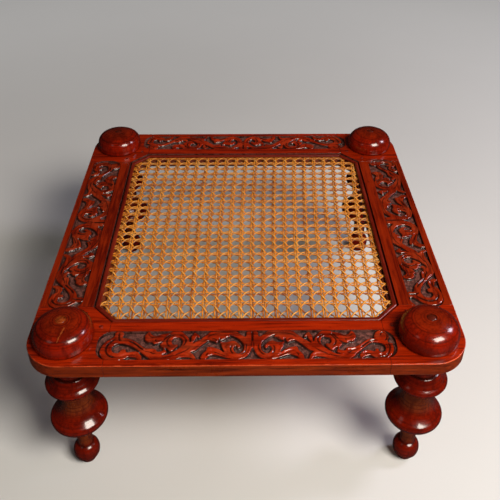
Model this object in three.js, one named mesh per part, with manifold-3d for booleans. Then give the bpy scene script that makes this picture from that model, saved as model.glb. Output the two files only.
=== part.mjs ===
// A low square seat: four carved rails and four corner blocks make the frame, a turned leg
// under each block carries a turned knob above it, and a cane seat is clamped under bead strips.
// Millimetres, +Z up, +X to the right, the front faces -Y.
// The origin is on the floor under the middle of the seat.
import * as THREE from "three";
import { mergeVertices } from "three/addons/utils/BufferGeometryUtils.js";
import Module from "manifold-3d";

const wasm = await Module();
wasm.setup();

// Frame
const seatWidth = 457;
const seatDepth = 470;
const frameTop = 200;
const frameThickness = 16.7;
const frameCornerRadius = 39.5;
const frameArris = 1.2;

// Bands across a rail's top, from its outer edge inwards
const outerStripWidth = 8;
const carvedBandWidth = 39;
const innerBandWidth = 13.5;
const quirkWidth = 1.6;
const beadWidth = 5;
const ledgeBeyondBead = 2.9;
const rebateDepth = 5.5;

// Sunk panel for the carving
const panelLength = 309;
const panelCornerRadius = 15;
const panelDepth = 3.2;

// Corner joints
const chamferLeg = 23.5;
const tenonLength = 20;
const tenonWidth = 36;
const tenonThickness = 6;
const tenonInset = 22;
const tenonAboveUnderside = 4.5;
const pegRadius = 2;
const pegInset = 54;
const fitGap = 0.3;
const overrun = 5;

// Cane seat and the bead that holds it down
const caneThickness = 1.8;
const caneHolesAcross = 13;
const caneHolesDeep = 14;
const caneHoleShare = 0.62;
const beadBelowTop = 0.2;
const beadRound = 1.4;

// Turned leg: radii and the heights of its widest and narrowest places above the floor
const axisInset = 38.5;
const toeRadius = 9.4;
const toeHeight = 4.6;
const ballRadius = 15.2;
const ballMiddle = 17;
const ballRise = 16.8;
const ankleRadius = 9;
const ankleTopHeight = 56;
const bellRadius = 32;
const bellMiddle = 82.5;
const bellDrop = 21;
const bellRise = 14;
const bellFootRadius = 12.4;
const bellNeckRadius = 25.6;
const flareRadius = 19;
const flareHeight = 98;
const waistRadius = 16.8;
const waistHeight = 112;
const bulbRadius = 29.4;
const bulbMiddle = 139;
const bulbDrop = 14;
const bulbRise = 23;
const bulbFootRadius = 18;
const bulbCreaseRadius = 26.6;
const creaseDepth = 0.8;
const neckRadius = 17;

// The leg's tenon fills the block, and its pin goes up through the knob
const legTenonRadius = 10;
const pinRadius = 4.7;
const pinBelowCrown = 0.3;

// Turned knob
const knobBaseRadius = 30.6;
const knobRadius = 31.8;
const knobMiddle = 4.5;
const knobSwell = 27.6;
const knobCreaseRadius = 26.6;
const knobHeight = 26;

// Steps of the curves
const turningSteps = 16;
const swellSteps = 4;
const cornerSteps = 6;
const arrisSteps = 2;
const pegSteps = 8;

const halfWidth = seatWidth / 2;
const halfDepth = seatDepth / 2;
const frameUnderside = frameTop - frameThickness;
const shoulderInset = outerStripWidth + carvedBandWidth + innerBandWidth;
const beadInset = shoulderInset + quirkWidth;
const ledgeInset = beadInset + beadWidth + ledgeBeyondBead;
const ledgeHeight = frameTop - rebateDepth;
const caneBottom = ledgeHeight + fitGap;
const caneInset = shoulderInset + fitGap;
const beadBottom = caneBottom + caneThickness + fitGap;
const beadTop = frameTop - beadBelowTop;
const axisX = halfWidth - axisInset;
const axisY = halfDepth - axisInset;
const chamferLossShare = 2 - Math.SQRT2;
const octagonCornerShare = 1 - Math.SQRT1_2;

// Finishes
const lacquer = { color: 0x7a1c08, roughness: 0.32, metalness: 0 };
const darkLacquer = { color: 0x5c0f08, roughness: 0.18, metalness: 0 };
const beadLacquer = { color: 0x6b2012, roughness: 0.35, metalness: 0 };
const rawWood = { color: 0x8a5a34, roughness: 0.6, metalness: 0 };
const cane = { color: 0xc07a34, roughness: 0.5, metalness: 0 };

// Turns a closed geometry into a solid. Only positions are kept, shared corners are merged,
// and the triangles that shrink to a line where a turned shape meets its axis are left out.
function solidOf(geometry) {
  const bare = new THREE.BufferGeometry();
  bare.setAttribute("position", geometry.getAttribute("position").clone());
  if (geometry.index) bare.setIndex(geometry.index.clone());
  const merged = mergeVertices(bare);
  const corners = Array.from(merged.index.array);
  const kept = [];
  for (let i = 0; i < corners.length; i += 3) {
    const [a, b, c] = corners.slice(i, i + 3);
    if (a !== b && b !== c && c !== a) kept.push(a, b, c);
  }
  const vertProperties = new Float32Array(merged.getAttribute("position").array);
  return new wasm.Manifold(new wasm.Mesh({ numProp: 3, vertProperties, triVerts: new Uint32Array(kept) }));
}

function geometryOf(solid) {
  const mesh = solid.getMesh();
  const indexed = new THREE.BufferGeometry();
  indexed.setAttribute("position", new THREE.BufferAttribute(new Float32Array(mesh.vertProperties), 3));
  indexed.setIndex(new THREE.BufferAttribute(new Uint32Array(mesh.triVerts), 1));
  const flat = indexed.toNonIndexed();
  flat.computeVertexNormals();
  return flat;
}

function prism(shape, bottom, top, curveSegments = cornerSteps) {
  const geometry = new THREE.ExtrudeGeometry(shape, { depth: top - bottom, bevelEnabled: false, curveSegments });
  geometry.translate(0, 0, bottom);
  return geometry;
}

function boxBetween(x0, x1, y0, y1, bottom, top) {
  const box = new THREE.BoxGeometry(x1 - x0, y1 - y0, top - bottom);
  box.translate((x0 + x1) / 2, (y0 + y1) / 2, (bottom + top) / 2);
  return box;
}

function roundedRectangle(width, height, radius) {
  const x = width / 2;
  const y = height / 2;
  const shape = new THREE.Shape();
  shape.absarc(x - radius, -y + radius, radius, -Math.PI / 2, 0);
  shape.absarc(x - radius, y - radius, radius, 0, Math.PI / 2);
  shape.absarc(-x + radius, y - radius, radius, Math.PI / 2, Math.PI);
  shape.absarc(-x + radius, -y + radius, radius, Math.PI, 1.5 * Math.PI);
  return shape;
}

// The opening is an octagon with four short sides at 45 degrees. Its corners at a given
// distance from the frame's outer edges run anticlockwise from the left end of the front side.
function octagon(inset) {
  const x = halfWidth - inset;
  const y = halfDepth - inset;
  const leg = chamferLeg - (inset - shoulderInset) * chamferLossShare;
  const corners = [
    [-x + leg, -y], [x - leg, -y], [x, -y + leg], [x, y - leg],
    [x - leg, y], [-x + leg, y], [-x, y - leg], [-x, -y + leg],
  ];
  return corners.map(([a, b]) => new THREE.Vector2(a, b));
}

// The four sides in order: front, right, back, left. A side's own frame has x along the rail
// and y inwards from its outer edge, with its origin at the middle of that edge.
const sides = ["front", "right", "back", "left"].map((name, k) => {
  const alongX = k % 2 === 0;
  const outerEdge = alongX ? halfDepth : halfWidth;
  const halfAlong = (alongX ? halfWidth : halfDepth) - shoulderInset - chamferLeg;
  return { name, turn: (k * Math.PI) / 2, outerEdge, jointAt: halfAlong };
});

function placeOnSide(geometry, side) {
  geometry.translate(0, -side.outerEdge, 0);
  geometry.rotateZ(side.turn);
  return geometry;
}

// The sunk panel that holds the carving
function panelCutter(side) {
  const shape = roundedRectangle(panelLength, carvedBandWidth, panelCornerRadius);
  const cutter = prism(shape, frameTop - panelDepth, frameTop + overrun);
  cutter.translate(0, outerStripWidth + carvedBandWidth / 2, 0);
  return solidOf(placeOnSide(cutter, side));
}

// The frame as one ring, before the joints divide it
function frameRing() {
  const blank = new THREE.ExtrudeGeometry(roundedRectangle(seatWidth, seatDepth, frameCornerRadius), {
    depth: frameThickness - 2 * frameArris,
    bevelThickness: frameArris,
    bevelSize: frameArris,
    bevelOffset: -frameArris,
    bevelSegments: arrisSteps,
    curveSegments: cornerSteps,
  });
  blank.translate(0, 0, frameUnderside + frameArris);
  const opening = prism(new THREE.Shape(octagon(ledgeInset)), frameUnderside - overrun, frameTop + overrun);
  const rebate = prism(new THREE.Shape(octagon(shoulderInset)), ledgeHeight, frameTop + overrun);
  let ring = solidOf(blank).subtract(solidOf(opening)).subtract(solidOf(rebate));
  for (const side of sides) ring = ring.subtract(panelCutter(side));
  return ring;
}

// A rail's tenon at one end, in world axes. It grows by the clearance to make its mortise.
function tenonAt(side, end, clearance) {
  const inner = side.jointAt - overrun;
  const outer = side.jointAt + tenonLength + clearance;
  const bottom = frameUnderside + tenonAboveUnderside - clearance;
  const top = frameUnderside + tenonAboveUnderside + tenonThickness + clearance;
  const box = boxBetween(
    Math.min(end * inner, end * outer), Math.max(end * inner, end * outer),
    tenonInset - clearance, tenonInset + tenonWidth + clearance, bottom, top,
  );
  return solidOf(placeOnSide(box, side));
}

function pegPlace(side, end) {
  const place = new THREE.Vector3(end * (side.jointAt + tenonLength / 2), pegInset - side.outerEdge, 0);
  return place.applyAxisAngle(new THREE.Vector3(0, 0, 1), side.turn);
}

function uprightCylinder(radius, bottom, top, steps) {
  const cylinder = new THREE.CylinderGeometry(radius, radius, top - bottom, steps);
  cylinder.rotateX(Math.PI / 2);
  cylinder.translate(0, 0, (bottom + top) / 2);
  return cylinder;
}

function pegHole(side, end) {
  const hole = uprightCylinder(pegRadius + fitGap, frameUnderside - overrun, frameTop + overrun, pegSteps);
  const place = pegPlace(side, end);
  return solidOf(hole.translate(place.x, place.y, 0));
}

// A rail is the ring between two joints, with a tenon at each end
function rail(ring, side) {
  const reach = side.jointAt - fitGap / 2;
  const span = boxBetween(-reach, reach, -overrun, side.outerEdge, frameUnderside - overrun, frameTop + overrun);
  let solid = ring.intersect(solidOf(placeOnSide(span, side)));
  for (const end of [-1, 1]) {
    solid = solid.add(tenonAt(side, end, 0)).subtract(pegHole(side, end));
  }
  return geometryOf(solid);
}

// A corner block lies between the ends of two rails. Corner k follows side k anticlockwise.
function cornerBlock(ring, k) {
  const before = sides[k];
  const after = sides[(k + 1) % sides.length];
  const corner = cornerSigns(k);
  const frontJoint = sides[0].jointAt + fitGap / 2;
  const sideJoint = sides[1].jointAt + fitGap / 2;
  const xs = [corner.x * frontJoint, corner.x * (halfWidth + overrun)].sort((a, b) => a - b);
  const ys = [corner.y * sideJoint, corner.y * (halfDepth + overrun)].sort((a, b) => a - b);
  const span = boxBetween(...xs, ...ys, frameUnderside - overrun, frameTop + overrun);
  const holeRadius = legTenonRadius + fitGap;
  const legHole = uprightCylinder(holeRadius, frameUnderside - overrun, frameTop + overrun, turningSteps);
  legHole.translate(corner.x * axisX, corner.y * axisY, 0);
  const solid = ring.intersect(solidOf(span))
    .subtract(solidOf(legHole))
    .subtract(tenonAt(before, 1, fitGap))
    .subtract(tenonAt(after, -1, fitGap))
    .subtract(pegHole(before, 1))
    .subtract(pegHole(after, -1));
  return geometryOf(solid);
}

function cornerSigns(k) {
  const signs = [[1, -1], [1, 1], [-1, 1], [-1, -1]][k];
  return new THREE.Vector2(...signs);
}

// One swelling of a turning: an ellipse about the given height, from one radius to another.
// The drop and the rise are the ellipse's half heights below and above its widest place.
function swelling({ radius, middle, drop, rise, from, to }) {
  const start = -Math.acos(from / radius);
  const end = Math.acos(to / radius);
  const points = [];
  const steps = from < radius ? 2 * swellSteps : swellSteps;
  for (let i = 0; i <= steps; i++) {
    const angle = start + ((end - start) * i) / steps;
    const half = angle < 0 ? drop : rise;
    points.push(new THREE.Vector2(radius * Math.cos(angle), middle + half * Math.sin(angle)));
  }
  return points;
}

function turned(points) {
  const geometry = new THREE.LatheGeometry(points, turningSteps);
  geometry.rotateX(Math.PI / 2);
  return geometry;
}

// The leg is one turning: toe, ball, ankle, bell, waist, bulb, neck, tenon and pin
function leg() {
  const shoulder = frameUnderside - fitGap;
  const pinTop = frameTop + fitGap + knobHeight - pinBelowCrown;
  const ballDrop = (ballMiddle - toeHeight) / Math.sin(Math.acos(toeRadius / ballRadius));
  const bulb = { radius: bulbRadius, middle: bulbMiddle, drop: bulbDrop, rise: bulbRise };
  const upperBulb = swelling({ ...bulb, from: bulbFootRadius, to: bulbCreaseRadius });
  const crease = upperBulb[upperBulb.length - 1];
  const cap = swelling({ ...bulb, from: bulbRadius, to: neckRadius })
    .filter((point) => point.x < bulbCreaseRadius - creaseDepth)
    .map((point) => point.clone());
  return turned([
    new THREE.Vector2(0, 0),
    new THREE.Vector2(toeRadius, 0),
    ...swelling({
      radius: ballRadius, middle: ballMiddle, drop: ballDrop, rise: ballRise, from: toeRadius, to: ankleRadius,
    }),
    new THREE.Vector2(ankleRadius, ankleTopHeight),
    ...swelling({
      radius: bellRadius, middle: bellMiddle, drop: bellDrop, rise: bellRise, from: bellFootRadius, to: bellNeckRadius,
    }),
    new THREE.Vector2(flareRadius, flareHeight),
    new THREE.Vector2(waistRadius, waistHeight),
    ...upperBulb,
    new THREE.Vector2(crease.x - creaseDepth, crease.y),
    ...cap,
    new THREE.Vector2(neckRadius, shoulder),
    new THREE.Vector2(legTenonRadius, shoulder),
    new THREE.Vector2(legTenonRadius, frameTop),
    new THREE.Vector2(pinRadius, frameTop),
    new THREE.Vector2(pinRadius, pinTop),
    new THREE.Vector2(0, pinTop),
  ]);
}

// The knob is bored for the leg's pin. Its crown starts inside a small step.
function knob() {
  const bore = pinRadius + fitGap;
  const side = swelling({
    radius: knobRadius, middle: knobMiddle,
    drop: knobMiddle / Math.sin(Math.acos(knobBaseRadius / knobRadius)), rise: knobSwell,
    from: knobBaseRadius, to: knobCreaseRadius,
  });
  const creaseHeight = side[side.length - 1].y;
  const crownRadius = knobCreaseRadius - creaseDepth;
  const crown = swelling({
    radius: crownRadius, middle: creaseHeight, drop: 0, rise: knobHeight - creaseHeight,
    from: crownRadius, to: bore,
  });
  const bottom = new THREE.Vector2(bore, 0);
  return turned([bottom, ...side, ...crown, bottom.clone()]);
}

// A strip of the bead along one side of the octagon. Its outline is carried between the two
// corners at each distance from the shoulder, so both ends are mitred.
function beadStrip(k) {
  const profile = [
    [0, beadBottom], [0, beadTop - beadRound], [beadRound, beadTop],
    [beadWidth - beadRound, beadTop], [beadWidth, beadTop - beadRound], [beadWidth, beadBottom],
  ];
  const ends = profile.map(([across, height]) => {
    const corners = octagon(beadInset + across);
    const start = corners[k];
    const finish = corners[(k + 1) % corners.length];
    const along = finish.clone().sub(start).normalize().multiplyScalar(fitGap / 2);
    return [start.clone().add(along), finish.clone().sub(along)].map((p) => [p.x, p.y, height]);
  });
  const count = profile.length;
  const positions = [...ends.map((pair) => pair[0]), ...ends.map((pair) => pair[1])].flat();
  const index = [];
  for (let i = 0; i < count; i++) {
    const next = (i + 1) % count;
    index.push(i, count + next, next, i, count + i, count + next);
  }
  for (let i = 1; i < count - 1; i++) {
    index.push(0, i, i + 1, count, count + i + 1, count + i);
  }
  const geometry = new THREE.BufferGeometry();
  geometry.setAttribute("position", new THREE.Float32BufferAttribute(positions, 3));
  geometry.setIndex(index);
  return geometry;
}

function octagonHole(x, y, halfX, halfY) {
  const cutX = 2 * halfX * octagonCornerShare;
  const cutY = 2 * halfY * octagonCornerShare;
  return new THREE.Path([
    [-halfX + cutX, -halfY], [halfX - cutX, -halfY], [halfX, -halfY + cutY], [halfX, halfY - cutY],
    [halfX - cutX, halfY], [-halfX + cutX, halfY], [-halfX, halfY - cutY], [-halfX, -halfY + cutY],
  ].map(([a, b]) => new THREE.Vector2(x + a, y + b)));
}

// The cane seat: a flat net with octagonal gaps in rows, whose solid border lies on the ledge
// under the bead. A gap that would reach the border at a corner is left out.
function caneSeat() {
  const outline = new THREE.Shape(octagon(caneInset));
  const inner = octagon(ledgeInset);
  const fieldX = inner[2].x;
  const fieldY = -inner[0].y;
  const cornerReach = inner[1].x - inner[1].y;
  const pitchX = (2 * fieldX) / caneHolesAcross;
  const pitchY = (2 * fieldY) / caneHolesDeep;
  const halfX = (pitchX * caneHoleShare) / 2;
  const halfY = (pitchY * caneHoleShare) / 2;
  for (let i = 0; i < caneHolesAcross; i++) {
    for (let j = 0; j < caneHolesDeep; j++) {
      const x = -fieldX + pitchX * (i + 0.5);
      const y = -fieldY + pitchY * (j + 0.5);
      const reach = Math.abs(x) + Math.abs(y) + halfX + halfY;
      if (reach < cornerReach) outline.holes.push(octagonHole(x, y, halfX, halfY));
    }
  }
  return prism(outline, caneBottom, caneBottom + caneThickness);
}

const seat = new THREE.Group();

function add(name, geometry, finish, place = new THREE.Vector3()) {
  const mesh = new THREE.Mesh(geometry, new THREE.MeshStandardMaterial(finish));
  mesh.name = name;
  mesh.position.copy(place);
  seat.add(mesh);
}

const ring = frameRing();
const cornerNames = ["front_right", "back_right", "back_left", "front_left"];
for (const side of sides) {
  add(`rail_${side.name}`, rail(ring, side), lacquer);
}
cornerNames.forEach((name, k) => {
  const corner = cornerSigns(k);
  const axis = new THREE.Vector3(corner.x * axisX, corner.y * axisY, 0);
  add(`corner_block_${name}`, cornerBlock(ring, k), lacquer);
  add(`leg_${name}`, leg(), darkLacquer, axis);
  add(`knob_${name}`, knob(), darkLacquer, new THREE.Vector3(axis.x, axis.y, frameTop + fitGap));
});
for (const side of sides) {
  for (const [end, label] of [[-1, "a"], [1, "b"]]) {
    const peg = uprightCylinder(pegRadius, frameUnderside, frameTop, pegSteps);
    add(`peg_${side.name}_${label}`, peg, rawWood, pegPlace(side, end));
  }
}
const beadNames = ["front", "front_right", "right", "back_right", "back", "back_left", "left", "front_left"];
beadNames.forEach((name, k) => add(`bead_${name}`, beadStrip(k), beadLacquer));
add("cane_seat", caneSeat(), cane);

export default seat;
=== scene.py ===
"""The looks of a low carved seat with turned legs and a woven cane top.

Every piece is worked out with numpy in millimetres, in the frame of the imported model, and is written to its
mesh in metres. Each group of pieces has an operator, and its sizes and colours are in property groups.
"""

import math
from types import SimpleNamespace

import bpy
import bmesh
import numpy as np
from mathutils import Matrix, Vector


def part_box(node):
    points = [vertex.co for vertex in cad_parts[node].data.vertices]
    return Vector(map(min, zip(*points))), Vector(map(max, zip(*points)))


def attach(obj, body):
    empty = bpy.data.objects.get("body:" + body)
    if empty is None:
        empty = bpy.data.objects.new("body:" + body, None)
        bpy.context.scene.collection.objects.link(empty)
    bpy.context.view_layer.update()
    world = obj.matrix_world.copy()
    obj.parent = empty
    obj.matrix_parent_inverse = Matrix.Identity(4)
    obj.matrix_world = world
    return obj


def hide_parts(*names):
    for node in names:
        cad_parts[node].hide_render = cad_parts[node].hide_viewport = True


bl_info = {
    "name": "Carved Cane Seat",
    "version": (1, 0, 0),
    "blender": (4, 5, 0),
    "location": "3D View > Sidebar > Cane Seat",
    "description": "Builds a low seat with carved rails, turned legs and a woven cane top",
    "category": "Add Mesh",
}

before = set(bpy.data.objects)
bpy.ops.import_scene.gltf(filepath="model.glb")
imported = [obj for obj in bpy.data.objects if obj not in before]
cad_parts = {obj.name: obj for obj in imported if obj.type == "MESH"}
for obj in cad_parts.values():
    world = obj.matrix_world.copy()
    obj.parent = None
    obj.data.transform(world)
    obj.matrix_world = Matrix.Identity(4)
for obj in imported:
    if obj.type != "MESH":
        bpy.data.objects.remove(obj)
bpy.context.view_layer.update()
BODY = "root"
MM = 0.001

SIDES = ("front", "right", "back", "left")
CORNERS = {"front_right": (1, -1), "back_right": (1, 1), "back_left": (-1, 1), "front_left": (-1, -1)}
BEADS = ("front", "front_right", "right", "back_right", "back", "back_left", "left", "front_left")


def node_box(name):
    """Lowest and highest corner of a node in millimetres."""
    low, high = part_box(name)
    return np.array(low) / MM, np.array(high) / MM


RAIL_LOW, RAIL_HIGH = node_box("rail_front")
FRAME_TOP = RAIL_HIGH[2]
FRAME_UNDERSIDE = RAIL_LOW[2]
HALF_DEPTH = -RAIL_LOW[1]
HALF_WIDTH = -node_box("rail_left")[0][0]
LEG_LOW, LEG_HIGH = node_box("leg_front_right")
AXIS_X, AXIS_Y = abs(LEG_LOW + LEG_HIGH)[:2] / 2
BEAD_LOW, BEAD_HIGH = node_box("bead_front")
BEAD_INSET = HALF_DEPTH + BEAD_LOW[1]
BEAD_WIDTH = BEAD_HIGH[1] - BEAD_LOW[1]
CANE_LOW, CANE_HIGH = node_box("cane_seat")
CANE_HEIGHT = (CANE_LOW[2] + CANE_HIGH[2]) / 2
# Radius of the frame's round corners in plan
CORNER_RADIUS = 39.5
# Points that are closer than this, in millimetres, are merged
WELD = 0.002
# What a leg of the opening's corner chamfer loses for each millimetre that the opening shrinks on all sides
CHAMFER_LOSS = 2 - math.sqrt(2)


# Sizes and colours that a user may change


def length(name, description, millimetres):
    """A length, given in millimetres and kept in metres, Blender's own unit."""
    return bpy.props.FloatProperty(
        name=name, description=description, default=millimetres * MM,
        unit="LENGTH", subtype="DISTANCE", precision=5,
    )


def angle(name, description, degrees):
    """An angle, given in degrees."""
    return bpy.props.FloatProperty(
        name=name, description=description, default=math.radians(degrees), unit="ROTATION", subtype="ANGLE"
    )


def number(name, description, value, unit="NONE"):
    """A plain number, or one in watts or in millimetres of focal length."""
    return bpy.props.FloatProperty(name=name, description=description, default=value, precision=3, unit=unit)


def count(name, description, value):
    """A whole number above zero."""
    return bpy.props.IntProperty(name=name, description=description, default=value, min=1)


def colour(name, description, value):
    """A colour in linear light."""
    return bpy.props.FloatVectorProperty(
        name=name, description=description, default=value, size=3, subtype="COLOR", min=0.0, max=1.0
    )


def values_of(group):
    """A property group's values for the numpy work: lengths in millimetres, colours as tuples."""
    values = {}
    for made in group.bl_rna.properties:
        value = getattr(group, made.identifier)
        if made.type == "FLOAT" and made.subtype == "COLOR":
            value = tuple(value)
        elif made.type == "FLOAT" and made.unit == "LENGTH":
            value = value / MM
        values[made.identifier] = value
    return SimpleNamespace(**values)


class SeatFrameSizes(bpy.types.PropertyGroup):
    """Sizes of the frame, its pegs and the beads"""

    arris: length("Arris", "Rounding of the frame's edges", 0.35)
    outer_strip: length("Outer strip", "Plain strip outside the carving", 8.0)
    band_width: length("Carved band", "Width of the carved band", 39.0)
    panel_length: length("Panel length", "Length of the sunk panel", 309.0)
    panel_radius: length("Panel corner", "Corner radius of the sunk panel", 15.0)
    panel_depth: length("Panel depth", "Depth of the sunk panel", 3.2)
    peg_dome: length("Peg dome", "How far a peg's end stands proud", 0.25)
    bead_waver: length("Bead waver", "How unevenly a bead's top rises", 0.12)
    bead_sink: length("Bead sink", "How far a bead's top lies under its node's", 0.15)
    mitre_gap: length("Mitre gap", "How far a bead stays from its mitre", 0.15)


class SeatCarvingSizes(bpy.types.PropertyGroup):
    """Sizes of the carving"""

    grid: length("Grid", "Spacing of the carving's surface", 0.42)
    clearance: length("Clearance", "Gap between the carving and the panel's wall", 0.12)
    ground_depth: length("Ground depth", "Depth of the ground under the rail's top", 2.75)
    stem_drop: length("Stem drop", "How far the stems lie under the rail's top", 0.15)
    wall: length("Wall", "Width of the sloping wall between the ground and a stem", 0.75)
    rounding: length("Rounding", "Width of a stem's rounded edge", 1.6)
    edge_drop: length("Edge drop", "How much a stem's edge lies under its flat top", 0.6)
    line_depth: length("Line depth", "Depth of the deepest incised lines", 1.3)
    punch_pitch: length("Punch pitch", "Spacing of the punched dots of the ground", 1.9)
    punch_depth: length("Punch depth", "Depth of the punched dots of the ground", 0.35)


class SeatTurningSizes(bpy.types.PropertyGroup):
    """Sizes of the legs and the knobs"""

    around: count("Steps around", "Faces round a turned piece", 96)
    tenon_radius: length("Tenon radius", "Radius of the leg's tenon through the block", 9.9)
    shoulder_gap: length("Shoulder gap", "Gap between the leg and the block's underside", 0.3)
    tenon_sink: length("Tenon sink", "How far the tenon's end lies under the knob", 0.1)
    pin_radius: length("Pin radius", "Radius of the leg's pin through the knob", 4.6)
    pin_rounding: length("Pin rounding", "Height of the rounding at the pin's end", 0.5)
    knob_bore: length("Knob bore", "Radius of the knob's bore for the pin", 5.0)
    runout: length("Runout", "How far a hand turning departs from round", 0.12)


class SeatCaneSizes(bpy.types.PropertyGroup):
    """Sizes of the woven cane"""

    pitch_across: length("Pitch across", "Spacing of the upright pairs at the seat's middle", 13.8)
    pitch_deep: length("Pitch deep", "Spacing of the level pairs", 13.9)
    fanning: number("Fanning", "How much the upright pairs spread towards the back, in mm per mm", 0.0035)
    skew: number("Skew", "How far the upright pairs lean to the right going back, in mm per mm", 0.0285)
    bow: number("Bow", "How much that lean grows towards the back, in mm per square mm", 0.0001)
    front_pull: length("Front pull", "How far the front row's strands are pulled forward", 9.5)
    shift_x: length("Shift across", "The weave's middle, right of the seat's", 1.5)
    shift_y: length("Shift back", "The weave's middle, behind the seat's", 6.1)
    pair_width: length("Pair's strand", "Width of the strands that lie in pairs", 1.9)
    diagonal_width: length("Diagonal strand", "Width of the diagonal strands", 2.1)
    strand_thickness: length("Strand thickness", "Thickness of a cane strand", 0.9)
    upright_offset: length("Upright offset", "From an upright pair's middle to each strand", 1.3)
    level_offset: length("Level offset", "From a level pair's middle to each strand", 1.4)
    bend: length("Bend", "How far a diagonal strand gives way round each hole", 0.55)
    step: length("Step", "Spacing of the sections along a strand", 1.3)
    pair_wave: length("Pair wave", "Rise and fall of a pair's strands", 0.6)
    diagonal_wave: length("Diagonal wave", "Rise and fall of a diagonal strand", 1.05)
    wander: length("Wander", "How far a strand wanders to the side", 0.35)
    front_gap: length("Front gap", "Strip behind the front bead's middle that has no level strands", 12.0)
    fade: length("Fade", "Distance over which the weave flattens towards the bead", 7.0)
    flat_end: length("Flat end", "Stretch at both ends of a strand that has no weave", 2.0)
    tuck: length("Tuck", "How far a strand's end dips under the bead", 0.8)
    tuck_length: length("Tuck length", "Length over which a strand's end dips", 2.5)
    loop_rise: length("Loop rise", "How far a loop's ends reach up into the holes", 1.2)
    loop_sag: length("Loop sag", "How far a loop hangs under its ends", 2.0)


class SeatColours(bpy.types.PropertyGroup):
    """Colours of the wood, the cane and the floor"""

    rail: colour("Rail", "Red-brown lacquer of the frame", (0.33, 0.0155, 0.0008))
    # The left and right rails get a darker copy of the rail's lacquer: painted shade
    side_rail: colour("Side rails", "Lacquer of the left and right rails", (0.235, 0.0145, 0.0012))
    rail_dark: colour("Rail, dark", "Dark streaks of the frame's grain", (0.09, 0.0035, 0.0005))
    edge: colour("Frame's edge", "Thinner, amber lacquer on the frame's outer faces", (0.22, 0.021, 0.0004))
    edge_dark: colour("Frame's edge, dark", "Dark streaks on the frame's outer faces", (0.06, 0.005, 0.0004))
    # Also paints a highlight line along the frame's outer arris; in the carving it is thin lacquer only
    worn: colour("Worn arris", "Lacquer rubbed thin on the arrises", (0.75, 0.11, 0.03))
    knob: colour("Knobs", "Deep red lacquer of the knobs", (0.26, 0.0085, 0.0005))
    leg: colour("Legs", "Darker lacquer of the legs", (0.17, 0.0065, 0.0006))
    # Also the colour towards which the legs are darkened as painted shade where seen side-on
    leg_dark: colour("Legs, dark", "Darkest lacquer of the legs", (0.04, 0.0014, 0.0004))
    amber: colour("Amber", "Thin lacquer in the legs' necks", (0.16, 0.032, 0.004))
    # Also the colour towards which the knobs are darkened as painted shade where seen side-on
    turned_dark: colour("Turned wood, dark", "Darkest lacquer of the knobs", (0.04, 0.0018, 0.0004))
    ground: colour("Carved ground", "Purple-brown ground of the carving", (0.135, 0.047, 0.037))
    # Also the colour of painted shade in creases, at the foot of the carving's walls, along its rim and in
    # its dents
    grime: colour("Grime", "Old polish and dirt in the grooves", (0.006, 0.002, 0.001))
    bead: colour("Bead", "Dark maroon lacquer of the bead", (0.16, 0.013, 0.005))
    cane: colour("Cane", "Golden cane", (0.8, 0.26, 0.018))
    # Also the colour of the painted shade at the strands' edges and where they lie low
    cane_dark: colour("Cane, dark", "Aged orange cane", (0.33, 0.066, 0.004))
    # Also the colour of the painted highlight where the strands lie high
    cane_pale: colour("Cane, pale", "Pale bark of the cane", (1.0, 0.6, 0.17))
    end_grain: colour("End grain", "End grain of the pegs and pins under thin lacquer", (0.075, 0.009, 0.003))
    raw_end: colour("Raw end grain", "Bare wood at the front left pin and the split", (0.3, 0.055, 0.008))
    bare: colour("Bare wood", "Wood under the seat, with one thin coat", (0.18, 0.035, 0.008))
    floor: colour("Floor", "Plain pale floor", (0.75, 0.75, 0.75))


class SeatStageSizes(bpy.types.PropertyGroup):
    """Settings of the camera, the lights and the walls"""

    yaw: angle("Yaw", "Turn of the camera to the right", 0.836)
    pitch: angle("Pitch", "How far the camera looks down", 33.255)
    roll: angle("Roll", "Turn of the camera about its own axis", 0.228)
    lens: number("Lens", "Focal length on a 36 mm sensor", 48.64, "CAMERA")
    camera_right: length("Camera right", "Camera right of the seat's middle", -4.684)
    camera_front: length("Camera front", "Camera in front of the seat's middle", 696.556)
    camera_above: length("Camera above", "Camera above the frame's top", 523.452)
    shift: number("Shift", "Vertical shift of the lens, as a share of the frame", -0.14)
    key_power: number("Key light", "Power of the key light", 32.0, "POWER")
    side_power: number("Side light", "Power of the light at the right", 7.0, "POWER")
    fill_power: number("Fill light", "Power of the fill light", 0.3, "POWER")
    backdrop: number("Backdrop", "Brightness of the studio's walls as the camera sees them", 0.85)
    surroundings: number("Surroundings", "Brightness of the studio's walls on the object", 0.06)
    reflected: number("Reflected", "Brightness of the studio's walls as the lacquer reflects them", 0.015)
    floor_lift: number("Floor lift", "Light added to the floor as the camera sees it", 0.2)
    reflected_floor: number("Reflected floor", "Brightness of the floor as the lacquer reflects it", 0.025)


GROUPS = {
    "seat_frame": SeatFrameSizes,
    "seat_carving": SeatCarvingSizes,
    "seat_turning": SeatTurningSizes,
    "seat_cane": SeatCaneSizes,
    "seat_colours": SeatColours,
    "seat_stage": SeatStageSizes,
}


# Meshes


def finish_piece(name, geometry, materials, replaced=(), smooth_degrees=None):
    """Links a finished mesh as a piece that rides on the seat, with its materials and the nodes
    that it stands for. Where an angle is given the piece is smooth, but for its sharper edges."""
    piece = bpy.data.objects.new(name, geometry)
    bpy.context.scene.collection.objects.link(piece)
    geometry.materials.clear()
    for made in materials:
        geometry.materials.append(made)
    if smooth_degrees is not None:
        geometry.shade_smooth()
        geometry.set_sharp_from_angle(angle=math.radians(smooth_degrees))
    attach(piece, BODY)
    if replaced:
        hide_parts(*replaced)
    return piece


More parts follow.
